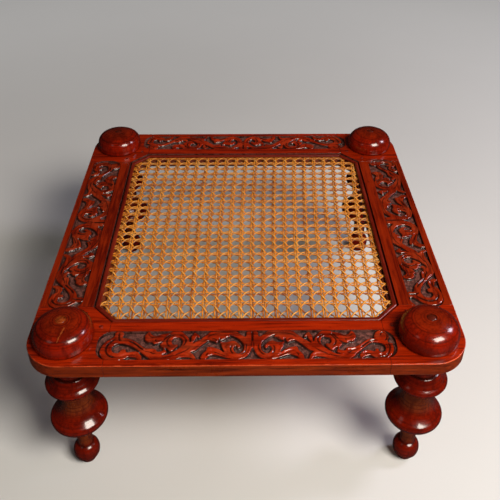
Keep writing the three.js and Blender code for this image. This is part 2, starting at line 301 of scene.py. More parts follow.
def closed_mesh(name, points, faces, fields=None, weld=False):
    """A closed mesh from points in millimetres, with each named field's value at every point. Welding merges
    the points that lie on each other, which closes poles and seams. All faces are turned outwards."""
    geometry = bpy.data.meshes.new(name)
    geometry.from_pydata((points.reshape(-1, 3) * MM).tolist(), [], faces)
    for key, values in (fields or {}).items():
        layer = geometry.attributes.new(key, "FLOAT", "POINT")
        layer.data.foreach_set("value", np.ascontiguousarray(values, np.float32).ravel())
    shell = bmesh.new()
    shell.from_mesh(geometry)
    if weld:
        bmesh.ops.remove_doubles(shell, verts=shell.verts, dist=WELD * MM)
    bmesh.ops.recalc_face_normals(shell, faces=shell.faces)
    shell.to_mesh(geometry)
    shell.free()
    return geometry


def grid_faces(rows, columns, wrap_rows=False, wrap_columns=False):
    """Quads between neighbouring points of a grid, optionally joined round in either direction."""
    i = np.arange(rows if wrap_rows else rows - 1)[:, None]
    j = np.arange(columns if wrap_columns else columns - 1)[None, :]
    a = i * columns + j
    b = i * columns + (j + 1) % columns
    c = ((i + 1) % rows) * columns + (j + 1) % columns
    d = ((i + 1) % rows) * columns + j
    return np.stack([a, b, c, d], -1).reshape(-1, 4)


def smooth_path(points, step):
    """A Catmull-Rom curve through the points: between two of them each coordinate is the cubic whose slope at
    a point is half the step from the point before it to the point after it."""
    p = np.asarray(points, float)
    ends = np.vstack([2 * p[0] - p[1], p, 2 * p[-1] - p[-2]])
    rows = []
    for a, b, c, d in zip(ends[:-3], ends[1:-2], ends[2:-1], ends[3:]):
        samples = max(2, int(np.hypot(*(c - b)[:2]) / step))
        t = np.linspace(0, 1, samples, endpoint=False)[:, None]
        cubic = 2 * b + (c - a) * t + (2 * a - 5 * b + 4 * c - d) * t**2 + (3 * b - a - 3 * c + d) * t**3
        rows.append(cubic / 2)
    rows.append(p[-1:])
    return np.vstack(rows)


def distance_along(path):
    """How far along a path each of its points lies: the running sum of the steps between them."""
    return np.concatenate([[0], np.cumsum(np.hypot(*np.diff(path, axis=0).T))])


def smoothstep(x, low, high):
    """Zero below low, one above high, and between them 3 times t squared less 2 times t cubed."""
    t = np.clip((x - low) / (high - low), 0, 1)
    return t * t * (3 - 2 * t)


def bell(x, middle, half_width, power=2):
    """One at the middle, and e to the power of minus the distance to it in half widths, raised to a power."""
    return np.exp(-(((x - middle) / half_width) ** power))


def opening(inset):
    """Corners of the eight-sided opening at a distance from the frame's outer edges, anticlockwise from the
    left end of the front side. Its short sides lie at 45 degrees and keep their distance too. The box of the
    front bead gives the chamfer."""
    x = HALF_WIDTH - inset
    y = HALF_DEPTH - inset
    leg = HALF_WIDTH - BEAD_INSET - BEAD_HIGH[0] - (inset - BEAD_INSET) * CHAMFER_LOSS
    return np.array([
        [-x + leg, -y], [x - leg, -y], [x, -y + leg], [x, y - leg],
        [x - leg, y], [-x + leg, y], [-x, y - leg], [-x, -y + leg],
    ])


def place_on_side(quarter, along, inwards, height):
    """Points on a side, which is so many quarter turns from the front, in the seat's own frame. They are
    given along the side, inwards from its outer edge and in height."""
    x = np.asarray(along, float)
    y = np.asarray(inwards, float) - (HALF_WIDTH if quarter % 2 else HALF_DEPTH)
    cosine, sine = math.cos(quarter * math.pi / 2), math.sin(quarter * math.pi / 2)
    return np.stack([x * cosine - y * sine, x * sine + y * cosine, height], -1)


# Node groups and materials


def scaled(base, factors):
    """A colour times a factor, or times one factor for each of its parts, and never brighter than one."""
    return tuple(np.minimum(1.0, np.multiply(base, factors)).tolist())


class Shader:
    """Adds nodes to a tree and links them."""

    def __init__(self, tree):
        self.tree = tree

    def add(self, kind, settings=None, **inputs):
        """Adds a node, with settings by name and input values or links by the inputs' names."""
        made = self.tree.nodes.new("ShaderNode" + kind)
        for key, value in (settings or {}).items():
            setattr(made, key, value)
        for key, value in inputs.items():
            self.feed(made.inputs[key.replace("_", " ")], value)
        return made

    def feed(self, socket, value):
        """Links a socket to another one, or gives it a value of its own."""
        if isinstance(value, bpy.types.NodeSocket):
            self.tree.links.new(value, socket)
        elif socket.type == "RGBA" and len(value) == 3:
            socket.default_value = (*value, 1.0)
        else:
            socket.default_value = value

    def in_order(self, kind, settings, values):
        """Adds a node, feeds its inputs in their order and gives back its outputs."""
        made = self.add(kind, settings)
        for socket, value in zip(made.inputs, values):
            self.feed(socket, value)
        return made.outputs

    def math(self, operation, *values, clamp=False):
        return self.in_order("Math", {"operation": operation, "use_clamp": clamp}, values)[0]

    def plus(self, first, second, clamp=False):
        return self.math("ADD", first, second, clamp=clamp)

    def minus(self, first, second):
        return self.math("SUBTRACT", first, second)

    def times(self, first, second):
        return self.math("MULTIPLY", first, second)

    def ramp(self, value, low, high):
        """A smooth step from zero at low to one at high."""
        return self.in_order("MapRange", {"interpolation_type": "SMOOTHSTEP"}, (value, low, high))[0]

    def vector(self, operation, *values):
        """A sum on vectors. Dot products and lengths are plain numbers and come out of the second socket."""
        outputs = self.in_order("VectorMath", {"operation": operation}, values)
        return outputs[1 if operation in ("DOT_PRODUCT", "LENGTH") else 0]

    def mix(self, share, first, second):
        """A share of the way from the first colour to the second."""
        made = self.add("Mix", {"data_type": "RGBA"})
        self.feed(made.inputs[0], share)
        self.feed(made.inputs[6], first)
        self.feed(made.inputs[7], second)
        return made.outputs[2]

    def noise(self, vector, scale, detail=4.0, roughness=0.55, distortion=0.0):
        made = self.add(
            "TexNoise", None, Vector=vector, Scale=scale,
            Detail=detail, Roughness=roughness, Distortion=distortion,
        )
        return made.outputs[0]

    def shaken(self, amount, vector, scale, **more):
        """Noise about zero, times an amount."""
        return self.times(self.minus(self.noise(vector, scale, **more), 0.5), amount)


class Skin(Shader):
    """A material's nodes, with its Principled shader and its object coordinates."""

    def __init__(self, name):
        self.material = bpy.data.materials.new(name)
        self.material.use_nodes = True
        super().__init__(self.material.node_tree)
        self.tree.nodes.clear()
        self.surface = self.add("BsdfPrincipled")
        self.add("OutputMaterial", None, Surface=self.surface.outputs[0])
        self.coordinates = self.add("TexCoord").outputs["Object"]

    def attribute(self, name):
        """The field that the mesh carries under a name."""
        return self.add("Attribute", {"attribute_name": name}).outputs["Fac"]

    def stretched(self, along, squeeze=0.05):
        """Object coordinates squeezed along the grain, so that noise on them runs into streaks."""
        scale = [1.0, 1.0, 1.0]
        scale[along] = squeeze
        return self.add("Mapping", None, Vector=self.coordinates, Scale=tuple(scale)).outputs[0]

    def place(self, group, **inputs):
        """Places a node group that works on the object coordinates, unless it is given others."""
        inputs.setdefault("Vector", self.coordinates)
        return self.add("Group", {"node_tree": group}, **inputs).outputs

    def bump(self, height, distance):
        return self.add("Bump", None, Height=height, Distance=distance, Strength=1.0).outputs[0]

    def finish(self, **inputs):
        """Feeds the Principled shader and gives back the material."""
        for key, value in inputs.items():
            self.feed(self.surface.inputs[key.replace("_", " ")], value)
        return self.material


def node_group(name, inputs, outputs, build):
    """A shader node group, built once. Its inputs and outputs are given by their kinds, and build makes the
    outputs' values from the inputs' sockets. Each material gives the inputs values of its own."""
    tree = bpy.data.node_groups.get(name)
    if tree is not None:
        return tree
    tree = bpy.data.node_groups.new(name, "ShaderNodeTree")
    for label, kind in inputs.items():
        tree.interface.new_socket(label, in_out="INPUT", socket_type=kind)
    for label, kind in outputs.items():
        tree.interface.new_socket(label, in_out="OUTPUT", socket_type=kind)
    source = tree.nodes.new("NodeGroupInput")
    target = tree.nodes.new("NodeGroupOutput")
    for label, value in build(Shader(tree), source.outputs).items():
        tree.links.new(value, target.inputs[label])
    return tree


COLOUR = "NodeSocketColor"
FLOAT = "NodeSocketFloat"
VECTOR = "NodeSocketVector"


def wood_grain_group():
    """Long streaks: noise on coordinates that are already stretched along the grain, in a broad and a fine
    scale, mixed from a dark to a light colour, with thin dark pores."""

    def build(shader, given):
        broad = shader.noise(given["Vector"], 85.0, detail=5.0, roughness=0.65, distortion=0.8)
        fine = shader.noise(given["Vector"], 380.0, roughness=0.65)
        pores = shader.ramp(shader.noise(given["Vector"], 1100.0, detail=2.0, roughness=0.5), 0.64, 0.74)
        tone = shader.ramp(shader.plus(shader.times(broad, 0.5), shader.times(fine, 0.5)), 0.38, 0.57)
        streaks = shader.mix(tone, given["Dark"], given["Light"])
        darkened = shader.mix(shader.times(pores, given["Pores"]), streaks, given["Dark"])
        return {"Color": darkened, "Height": shader.minus(shader.times(tone, 0.35), pores)}

    inputs = {"Vector": VECTOR, "Dark": COLOUR, "Light": COLOUR, "Pores": FLOAT}
    return node_group("Wood grain", inputs, {"Color": COLOUR, "Height": FLOAT}, build)


def hand_polish_group():
    """Hand-rubbed lacquer: clouds of dullness for the roughness, and a slow wave with fine specks for both
    the roughness and the height."""

    def build(shader, given):
        wave = shader.noise(given["Vector"], 60.0, detail=2.0, roughness=0.4)
        specks = shader.ramp(shader.noise(given["Vector"], 700.0, detail=2.0, roughness=0.5), 0.62, 0.72)
        clouds = shader.shaken(given["Variation"], given["Vector"], 22.0, roughness=0.6)
        dull = shader.plus(shader.plus(given["Roughness"], clouds), shader.times(specks, 0.12), clamp=True)
        return {"Roughness": dull, "Height": shader.plus(wave, shader.times(specks, 0.08))}

    inputs = {"Vector": VECTOR, "Roughness": FLOAT, "Variation": FLOAT}
    return node_group("Hand polish", inputs, {"Roughness": FLOAT, "Height": FLOAT}, build)


def shade_and_grime_group():
    """Darkens a colour by a mask that noise breaks up: old polish and dirt, and painted shade."""

    def build(shader, given):
        patches = shader.ramp(shader.noise(given["Vector"], 95.0, detail=5.0, roughness=0.65), 0.3, 0.68)
        amount = shader.times(given["Mask"], shader.plus(shader.times(patches, 0.25), 0.75))
        return {"Color": shader.mix(amount, given["Color"], given["Grime"])}

    inputs = {"Vector": VECTOR, "Color": COLOUR, "Grime": COLOUR, "Mask": FLOAT}
    return node_group("Grime", inputs, {"Color": COLOUR}, build)


def from_arc_centre_group():
    """Distance to the inner rectangle on whose corners the frame's round corners are centred, in millimetres.
    It equals the corner radius all along the frame's outer outline."""

    def build(shader, given):
        split = shader.add("SeparateXYZ", None, Vector=given["Vector"]).outputs
        squares = []
        for axis, half in enumerate((HALF_WIDTH, HALF_DEPTH)):
            beyond = shader.minus(shader.math("ABSOLUTE", split[axis]), (half - CORNER_RADIUS) * MM)
            squares.append(shader.math("POWER", shader.math("MAXIMUM", beyond, 0.0), 2.0))
        return {"Distance": shader.math("DIVIDE", shader.math("SQRT", shader.plus(*squares)), MM)}

    return node_group("From arc centre", {"Vector": VECTOR}, {"Distance": FLOAT}, build)


def split_group():
    """A radial split: one minus a ramp over the distance to a stretch of line in plan, frayed by noise."""

    def build(shader, given):
        flat = shader.vector("MULTIPLY", given["Vector"], (1.0, 1.0, 0.0))
        away = shader.vector("SUBTRACT", flat, given["Start"])
        reach = shader.vector("SUBTRACT", given["Finish"], given["Start"])
        onto = shader.vector("DOT_PRODUCT", away, reach)
        along = shader.math("DIVIDE", onto, shader.vector("DOT_PRODUCT", reach, reach), clamp=True)
        nearest = shader.add("VectorMath", {"operation": "SCALE"}, Vector=reach, Scale=along).outputs[0]
        gap = shader.vector("LENGTH", shader.vector("SUBTRACT", away, nearest))
        fray = shader.shaken(5.0 * MM, given["Vector"], 260.0, roughness=0.75)
        return {"Mask": shader.minus(1.0, shader.ramp(shader.plus(gap, fray), 0.2 * MM, 0.9 * MM))}

    inputs = {"Vector": VECTOR, "Start": VECTOR, "Finish": VECTOR}
    return node_group("Split", inputs, {"Mask": FLOAT}, build)


def frame_wood(name, along, light, dark, roughness=0.24, gloss=0.35, rubbed_glint=None):
    """Lacquered frame wood with its grain along one axis, warmer where the lacquer is thin, with small dark
    specks and, where a colour is given for it, a light line along the outline that is rubbed lacquer and a
    painted highlight of the arris."""
    skin = Skin(name)
    grain = skin.place(wood_grain_group(), Vector=skin.stretched(along), Dark=dark, Light=light, Pores=0.45)
    thin = skin.ramp(skin.noise(skin.stretched(along, 0.12), 160.0, roughness=0.7), 0.5, 0.68)
    warmer = skin.mix(skin.times(thin, 0.5), grain["Color"], scaled(light, (1.45, 1.8, 2.0)))
    specks = skin.ramp(skin.noise(skin.stretched(along, 0.2), 330.0, detail=3.0, roughness=0.7), 0.64, 0.72)
    base = skin.mix(skin.times(specks, 0.75), warmer, scaled(dark, 0.3))
    # A light line along the outer outline: wear and a painted highlight
    if rubbed_glint is not None:
        fray = skin.shaken(4.0, skin.coordinates, 60.0, detail=5.0, roughness=0.75)
        distance = skin.plus(skin.place(from_arc_centre_group())["Distance"], fray)
        line = skin.ramp(distance, CORNER_RADIUS - 1.0, CORNER_RADIUS)
        base = skin.mix(skin.times(line, 0.6), base, rubbed_glint)
    polish = skin.place(hand_polish_group(), Roughness=roughness, Variation=0.22)
    height = skin.plus(skin.times(grain["Height"], 0.25), polish["Height"])
    return skin.finish(
        Base_Color=base, Roughness=polish["Roughness"], Specular_IOR_Level=0.18,
        Coat_Weight=gloss, Coat_Roughness=0.12, Normal=skin.bump(height, 0.35 * MM),
    )


def arris_wear_and_glint(name, colours):
    """The frame's arrises: along the outer outline the lacquer is rubbed thin in patches and lighter, as wear
    and as a painted highlight, and the other arrises, at the joints and in the groove beside the bead, are
    dark."""
    skin = Skin(name)
    distance = skin.place(from_arc_centre_group())["Distance"]
    level = skin.add("SeparateXYZ", None, Vector=skin.coordinates).outputs[2]
    on_top = skin.ramp(level, (FRAME_TOP - 1.2) * MM, (FRAME_TOP - 0.6) * MM)
    outer = skin.times(skin.ramp(distance, CORNER_RADIUS - 3.0, CORNER_RADIUS - 1.5), on_top)
    broken = skin.ramp(skin.noise(skin.coordinates, 75.0, detail=5.0, roughness=0.7), 0.4, 0.62)
    rubbed_glint = skin.mix(broken, colours.rail, colours.worn)
    return skin.finish(
        Base_Color=skin.mix(outer, colours.rail_dark, rubbed_glint),
        Roughness=skin.plus(skin.times(broken, 0.15), 0.2), Coat_Weight=0.4, Coat_Roughness=0.12,
    )


def carved_wood(name, colours, light, along):
    """The carving: a punched, matt ground under glossy stems, with patches where the stems' lacquer is thin.
    The mesh carries how much of each place is stem, and how dark it is made: in the incised lines, and
    with painted shade at the foot of the walls, along the rim and in the punch marks."""
    skin = Skin(name)
    stem = skin.attribute("stem")
    grain = skin.place(
        wood_grain_group(), Vector=skin.stretched(along), Dark=colours.rail_dark, Light=light, Pores=0.3
    )
    mottle = skin.noise(skin.coordinates, 260.0, roughness=0.7)
    ground = skin.mix(skin.ramp(mottle, 0.4, 0.66), scaled(colours.ground, 0.5), scaled(colours.ground, 1.7))
    thin = skin.ramp(skin.noise(skin.coordinates, 45.0, roughness=0.6), 0.42, 0.66)
    lacquer = skin.mix(skin.times(thin, 0.16), grain["Color"], colours.worn)
    base = skin.mix(skin.ramp(stem, 0.35, 0.8), ground, lacquer)
    # The line field darkens the colour: the incised lines, and painted shade at the walls' foot, the rim and
    # the dents
    grime = skin.place(shade_and_grime_group(), Color=base, Grime=colours.grime, Mask=skin.attribute("line"))
    polish = skin.place(hand_polish_group(), Roughness=0.2, Variation=0.2)
    matt = skin.times(skin.minus(1.0, stem), 0.25)
    height = skin.plus(polish["Height"], skin.times(mottle, matt))
    return skin.finish(
        Base_Color=grime["Color"], Roughness=skin.plus(polish["Roughness"], matt, clamp=True),
        Specular_IOR_Level=0.25, Coat_Weight=0.6, Coat_Roughness=0.1, Normal=skin.bump(height, 0.5 * MM),
    )


def turned_wood(name, colours, light, dark, end_colour, split=None):
    """Deep glossy lacquer on the turnings: rings from the lathe, blotches, amber where the mesh says that the
    lacquer is thin, painted shade in the creases and towards the edges seen side-on, and end grain where the
    pin's end shows or the wood has split."""
    skin = Skin(name)
    ring_place = skin.add("CombineXYZ", None, X=skin.attribute("turned")).outputs[0]
    amber = skin.mix(skin.times(skin.attribute("thin"), 0.75), light, colours.amber)
    grain = skin.place(wood_grain_group(), Vector=skin.stretched(2, 0.3), Dark=dark, Light=amber, Pores=0.4)
    rings = skin.ramp(skin.noise(ring_place, 0.42, detail=3.0, roughness=0.7), 0.46, 0.62)
    blotches = skin.ramp(skin.noise(skin.coordinates, 38.0, roughness=0.6), 0.46, 0.66)
    tone_and_shade = skin.math("MAXIMUM", skin.times(rings, 0.65), skin.times(blotches, 0.6))
    # Painted shade: the lacquer darkens towards the edges that are seen side-on
    edge_on_shade = skin.ramp(skin.add("LayerWeight").outputs["Facing"], 0.25, 1.0)
    tone_and_shade = skin.math("MAXIMUM", tone_and_shade, skin.times(edge_on_shade, 0.85))
    warm = skin.mix(tone_and_shade, skin.mix(0.4, grain["Color"], amber), dark)
    # The crease mask darkens the creases as painted shade
    grime = skin.place(shade_and_grime_group(), Color=warm, Grime=colours.grime, Mask=skin.attribute("crease"))
    frayed = skin.ramp(skin.noise(skin.coordinates, 420.0, roughness=0.7), 0.36, 0.56)
    end = skin.times(skin.attribute("end"), skin.plus(skin.times(frayed, 0.8), 0.2))
    if split is not None:
        start, finish = ((x * MM, y * MM, 0.0) for x, y in split)
        gash = skin.place(split_group(), Start=start, Finish=finish)["Mask"]
        end = skin.math("MAXIMUM", end, skin.times(gash, 0.8))
    polish = skin.place(hand_polish_group(), Roughness=0.2, Variation=0.14)
    lathe_marks = skin.times(skin.noise(ring_place, 1.4, detail=3.0, roughness=0.6), 0.55)
    return skin.finish(
        Base_Color=skin.mix(end, grime["Color"], end_colour),
        Roughness=skin.plus(polish["Roughness"], skin.times(end, 0.3), clamp=True),
        Specular_IOR_Level=0.12, Coat_Weight=0.75, Coat_Roughness=0.12,
        Normal=skin.bump(skin.plus(polish["Height"], lathe_marks), 0.3 * MM),
    )


def cane_skin(name, colours):
    """Cane: each strand has a tone of its own and fibres run along it. Painted shade makes its edges darker
    than its crown and darkens it where it lies low in the weave, and a painted highlight makes it paler where
    it lies high."""
    skin = Skin(name)
    tone, across, sunk = skin.attribute("tone"), skin.attribute("across"), skin.attribute("sunk")
    lengthwise = skin.times(skin.attribute("along"), 0.06)
    fibre_place = skin.add("CombineXYZ", None, X=lengthwise, Y=across, Z=tone).outputs[0]
    fibres = skin.noise(fibre_place, 5.0, roughness=0.7)
    mixed = skin.plus(skin.times(tone, 0.5), skin.times(fibres, 0.5))
    body = skin.mix(skin.ramp(mixed, 0.2, 0.62), colours.cane_dark, colours.cane)
    patches = skin.ramp(skin.noise(skin.coordinates, 40.0, detail=3.0, roughness=0.6), 0.5, 0.75)
    # Painted highlight: paler where the strand lies high in the weave, together with bleached patches
    raised_highlight = skin.minus(1.0, skin.ramp(sunk, 0.0, 0.4))
    bleached_and_lit = skin.times(skin.math("MAXIMUM", patches, raised_highlight), 0.45)
    # Painted shade: darker towards the strand's edges and where it lies low
    edge = skin.times(skin.ramp(skin.math("ABSOLUTE", across), 0.5, 1.0), 0.85)
    low = skin.times(skin.ramp(sunk, 0.4, 1.0), 0.8)
    pale = skin.mix(bleached_and_lit, body, colours.cane_pale)
    return skin.finish(
        Base_Color=skin.mix(skin.math("MAXIMUM", edge, low), pale, scaled(colours.cane_dark, 0.3)),
        Roughness=skin.plus(skin.times(fibres, 0.25), 0.3),
        Specular_IOR_Level=0.3, Coat_Weight=0.3, Coat_Roughness=0.15, Normal=skin.bump(fibres, 0.12 * MM),
    )


def plain_wood(name, light, dark, along, roughness=0.5):
    """Wood with little or no lacquer."""
    skin = Skin(name)
    place = skin.stretched(along, 0.15)
    grain = skin.place(wood_grain_group(), Vector=place, Dark=dark, Light=light, Pores=0.6)
    normal = skin.bump(grain["Height"], 0.3 * MM)
    return skin.finish(Base_Color=grain["Color"], Roughness=roughness, Normal=normal)


# Frame


def faces_by_kind(geometry):
    """Which of a frame piece's materials each of its faces takes: the top's, the outer side's on the frame's
    outline, the plain one's underneath and inside, and the recess's on the sunk panel and its walls."""
    faces = len(geometry.polygons)
    normals = np.empty(faces * 3)
    centres = np.empty(faces * 3)
    geometry.polygons.foreach_get("normal", normals)
    geometry.polygons.foreach_get("center", centres)
    upright = normals.reshape(-1, 3)[:, 2]
    centres = centres.reshape(-1, 3) / MM
    beyond = np.maximum(abs(centres[:, :2]) - (HALF_WIDTH - CORNER_RADIUS, HALF_DEPTH - CORNER_RADIUS), 0)
    on_outline = (np.hypot(*beyond.T) > CORNER_RADIUS - 1.0) & (abs(upright) < 0.3)
    below_top = FRAME_TOP - centres[:, 2]
    out_of_sight = (upright < -0.9) | (below_top > 5.0)
    recess = below_top > 1.0
    return np.where(on_outline, 2, np.where(out_of_sight, 3, np.where(recess, 4, 0))).astype(np.int32)


def frame_copy(node, name, materials, arris):
    """A frame piece from its node: merged, its flat faces joined, and its edges rounded by a bevel whose
    faces take the second material."""
    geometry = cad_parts[node].data.copy()
    geometry.name = name
    shell = bmesh.new()
    shell.from_mesh(geometry)
    bmesh.ops.remove_doubles(shell, verts=shell.verts, dist=WELD * MM)
    bmesh.ops.dissolve_limit(
        shell, verts=shell.verts, edges=shell.edges,
        angle_limit=math.radians(1.0), use_dissolve_boundaries=False,
    )
    shell.to_mesh(geometry)
    shell.free()
    piece = finish_piece(name, geometry, materials, (node,))
    geometry.polygons.foreach_set("material_index", faces_by_kind(geometry))
    geometry.polygons.foreach_set("use_smooth", np.ones(len(geometry.polygons), bool))
    rounding = piece.modifiers.new("arris", "BEVEL")
    rounding.width = arris * MM
    rounding.segments = 2
    rounding.limit_method = "ANGLE"
    rounding.angle_limit = math.radians(35)
    rounding.material = 1
    weights = piece.modifiers.new("flat faces", "WEIGHTED_NORMAL")
    weights.keep_sharp = True


class SEAT_OT_frame(bpy.types.Operator):
    """Builds the rails and corner blocks with rounded arrises"""

    bl_idname = "seat.frame"
    bl_label = "Frame"

    def execute(self, context):
        sizes = values_of(context.scene.seat_frame)
        colours = values_of(context.scene.seat_colours)
        worn = arris_wear_and_glint("frame_arris", colours)
        recess = plain_wood("recess_wall", colours.ground, colours.grime, 2, roughness=0.3)
        woods = []
        for along, light in enumerate((colours.rail, colours.side_rail)):
            top = frame_wood(f"rail_wood_{along}", along, light, colours.rail_dark, rubbed_glint=colours.worn)
            side = frame_wood(
                f"edge_wood_{along}", along, colours.edge, colours.edge_dark, roughness=0.3, gloss=0.06
            )
            under = plain_wood(f"underside_{along}", colours.bare, colours.rail_dark, along)
            woods.append((top, worn, side, under, recess))
        for quarter, side in enumerate(SIDES):
            frame_copy(f"rail_{side}", f"{side}_rail", woods[quarter % 2], sizes.arris)
        for corner in CORNERS:
            frame_copy(f"corner_block_{corner}", f"{corner}_block", woods[0], sizes.arris)
        return {"FINISHED"}


# Carving

# The stretch of the second field's outline that is alike at both kinds of end
SECOND_FIELD = (
    (107.6, 17.4), (108.8, 14.7), (109.2, 11.9), (108.6, 9.1), (107.0, 6.6), (104.4, 4.9), (102.2, 5.3),
    (99.9, 4.2), (99.1, 2.7), (96.9, 3.0), (94.1, 3.8), (91.9, 4.9), (89.4, 7.3), (91.3, 4.0), (92.6, 2.2),
    (92.2, -0.3), (90.5, -2.0), (89.0, -3.4), (88.8, -5.4), (90.2, -7.0), (92.8, -7.8), (95.0, -7.3),
    (95.9, -5.1), (99.1, -3.6), (103.0, -3.4),
)
# The drawing of half a rail's carving, in millimetres: distance along the rail from its middle, then distance
# across the band from its centre line, towards the seat. The other half mirrors it. The ground is sunk inside
# these outlines and everything else stands.
GROUND = (
    ("centre wedge", ((-6.0, -21.5), (-6.0, -8.0), (-0.6, -3.4), (1.1, -4.8), (2.1, -8.1), (3.6, -11.6),
        (5.9, -14.6), (8.8, -16.8), (12.2, -18.2), (14.1, -20.1), (9.7, -21.4))),
    ("palmette side", ((5.3, 21.3), (5.6, 19.1), (6.3, 16.8), (6.1, 14.7), (6.6, 12.7), (8.1, 12.3),
        (10.3, 14.1), (12.2, 16.1), (13.9, 17.7), (15.2, 21.3))),
    ("first crescent", ((23.9, 14.7), (21.9, 14.1), (19.1, 12.7), (16.3, 11.1), (13.3, 8.3), (10.8, 4.9),
        (9.1, 1.3), (8.6, -2.0), (8.8, -5.1), (9.9, -7.7), (11.9, -9.9), (14.2, -11.0), (16.6, -9.9),
        (18.4, -7.3), (19.1, -4.5), (18.3, -2.0), (16.9, -0.9), (15.5, -1.7), (14.9, -3.6), (13.4, -3.8),
        (12.2, -2.3), (12.3, 0.1), (13.7, 2.2), (15.3, 4.0), (17.4, 5.7), (19.9, 6.6), (22.4, 5.9),
        (25.5, 4.4), (28.6, 4.1), (31.3, 5.3), (31.9, 7.0), (29.4, 7.7), (27.0, 9.4), (25.2, 11.6),
        (23.4, 11.9), (22.4, 12.7))),
    ("first field", (
        (43.3, 6.8), (44.9, 6.3), (48.0, 3.6), (51.3, 0.2), (54.7, -3.7), (57.7, -6.7), (61.6, -8.8),
        (59.4, -11.0), (57.4, -13.8), (56.3, -16.6), (55.8, -19.2), (55.7, -21.4), (51.4, -21.4),
        (51.4, -19.2), (51.6, -15.9), (50.8, -13.1), (49.4, -10.3), (47.7, -8.4), (46.3, -6.4), (46.1, -4.2),
        (45.2, -2.3), (43.0, -1.7), (39.1, -2.6), (35.2, -4.2), (31.9, -6.4), (29.2, -8.9), (28.1, -8.1),
        (29.7, -4.8), (31.2, -1.4), (31.6, 1.3), (32.6, 3.8), (32.1, 6.3), (32.6, 9.4), (33.4, 9.7),
        (34.4, 6.3), (35.9, 3.8), (37.4, 4.9), (40.2, 6.1),
    )),
    ("under first leaf", ((19.1, -19.2), (24.1, -17.4), (26.9, -16.0), (29.7, -14.9), (33.0, -13.8),
        (36.3, -12.7), (38.6, -12.6), (40.8, -13.1), (43.0, -14.2), (44.7, -15.9), (46.1, -18.7),
        (45.8, -21.4), (20.8, -21.4))),
    ("before bud", ((41.9, 21.3), (43.0, 19.3), (44.7, 16.9), (46.9, 14.7), (49.1, 12.4), (51.3, 9.9),
        (52.8, 8.4), (54.0, 9.7), (53.4, 11.9), (53.9, 14.1), (55.8, 16.4), (57.9, 17.6), (59.4, 19.1),
        (59.7, 21.3))),
    ("bud vein", ((53.1, 8.4), (53.6, 10.7), (55.1, 11.2), (56.4, 12.1), (57.3, 10.1), (58.4, 7.2),
        (59.9, 3.1), (57.4, 5.1), (54.8, 7.1))),
    ("after bud", ((58.4, 21.3), (58.9, 19.3), (59.7, 16.9), (61.1, 14.7), (62.2, 12.3), (61.9, 9.7),
        (62.3, 5.7), (63.2, 5.7), (64.3, 9.7), (66.4, 13.4), (69.0, 16.8), (71.3, 19.1), (73.0, 21.3))),
    ("under trough leaf", ((60.3, -21.4), (60.0, -18.7), (61.4, -16.1), (64.1, -15.3), (67.4, -15.3),
        (70.8, -15.9), (74.1, -17.1), (78.0, -18.0), (83.0, -18.7), (85.2, -21.4))),
    ("second crescent", ((80.3, 9.1), (78.0, 10.7), (75.2, 11.4), (73.0, 11.1), (71.3, 8.8), (70.3, 5.2),
        (70.5, 1.9), (71.9, -0.9), (74.1, -3.7), (76.3, -5.9), (79.1, -8.1), (81.9, -9.9), (84.9, -12.0),
        (89.7, -12.6), (87.2, -10.6), (85.5, -8.9), (86.0, -6.7), (87.6, -4.7), (86.9, -3.1), (85.1, -3.9),
        (83.6, -5.9), (82.2, -7.3), (79.7, -6.6), (78.1, -4.5), (76.3, -2.3), (74.9, -0.3), (75.2, 1.4),
        (76.9, 1.8), (78.8, 1.4), (80.3, 2.7), (81.1, 4.7), (81.1, 7.0))),
    ("second field", SECOND_FIELD + ((106.3, -3.0), (109.1, -1.4),
        (111.9, 0.5), (114.7, 2.3), (118.0, 4.7), (121.3, 6.9), (125.2, 8.4), (129.1, 8.7), (130.2, 9.2),
        (129.3, 10.5), (130.5, 13.6), (131.9, 16.3), (133.4, 17.7), (134.7, 21.3), (106.3, 21.3))),
    ("over top leaf", ((82.4, 21.3), (83.9, 17.9), (86.3, 17.3), (89.7, 16.8), (92.4, 15.9), (94.8, 14.3),
        (97.0, 13.8), (99.8, 14.1), (101.8, 15.8), (103.2, 17.9), (104.1, 21.3))),
    ("trough right", ((97.4, -20.9), (103.0, -16.0), (106.3, -12.7), (109.1, -9.9), (111.4, -8.1),
        (112.8, -8.2), (111.9, -10.4), (110.0, -12.7), (109.1, -15.4), (109.2, -18.1), (108.8, -21.4))),
    ("under hook", ((113.1, -21.4), (113.0, -18.7), (114.8, -15.9), (117.0, -15.3), (121.2, -14.2),
        (123.3, -15.3), (125.8, -17.6), (130.2, -18.8), (131.9, -21.4))),
    ("end crescent", ((112.2, -7.6), (115.2, -4.5), (119.1, -1.2), (123.0, 1.6), (126.3, 2.9), (131.3, 2.7),
        (135.2, 1.9), (138.4, 0.1), (140.1, -2.6), (140.3, -5.9), (139.1, -8.4), (136.3, -10.2),
        (133.3, -10.3), (131.9, -8.8), (132.0, -6.8), (130.5, -5.4), (128.6, -5.8), (127.4, -7.3),
        (126.8, -9.2), (124.4, -8.8), (121.3, -7.7), (118.0, -7.4), (114.7, -8.4), (112.8, -9.7))),
    ("end top", ((144.6, 21.3), (144.7, 19.1), (145.4, 16.8), (147.2, 13.6), (146.9, 9.7), (145.2, 6.6),
        (145.0, 3.4), (147.4, 2.1), (150.3, 1.3), (157.4, 1.2), (157.4, 21.3))),
    ("end side", ((150.3, 1.0), (150.7, -3.1), (149.9, -7.9), (148.0, -12.3), (145.2, -15.9), (141.9, -18.4),
        (140.5, -21.4), (157.4, -22.6), (157.4, 1.9))),
)

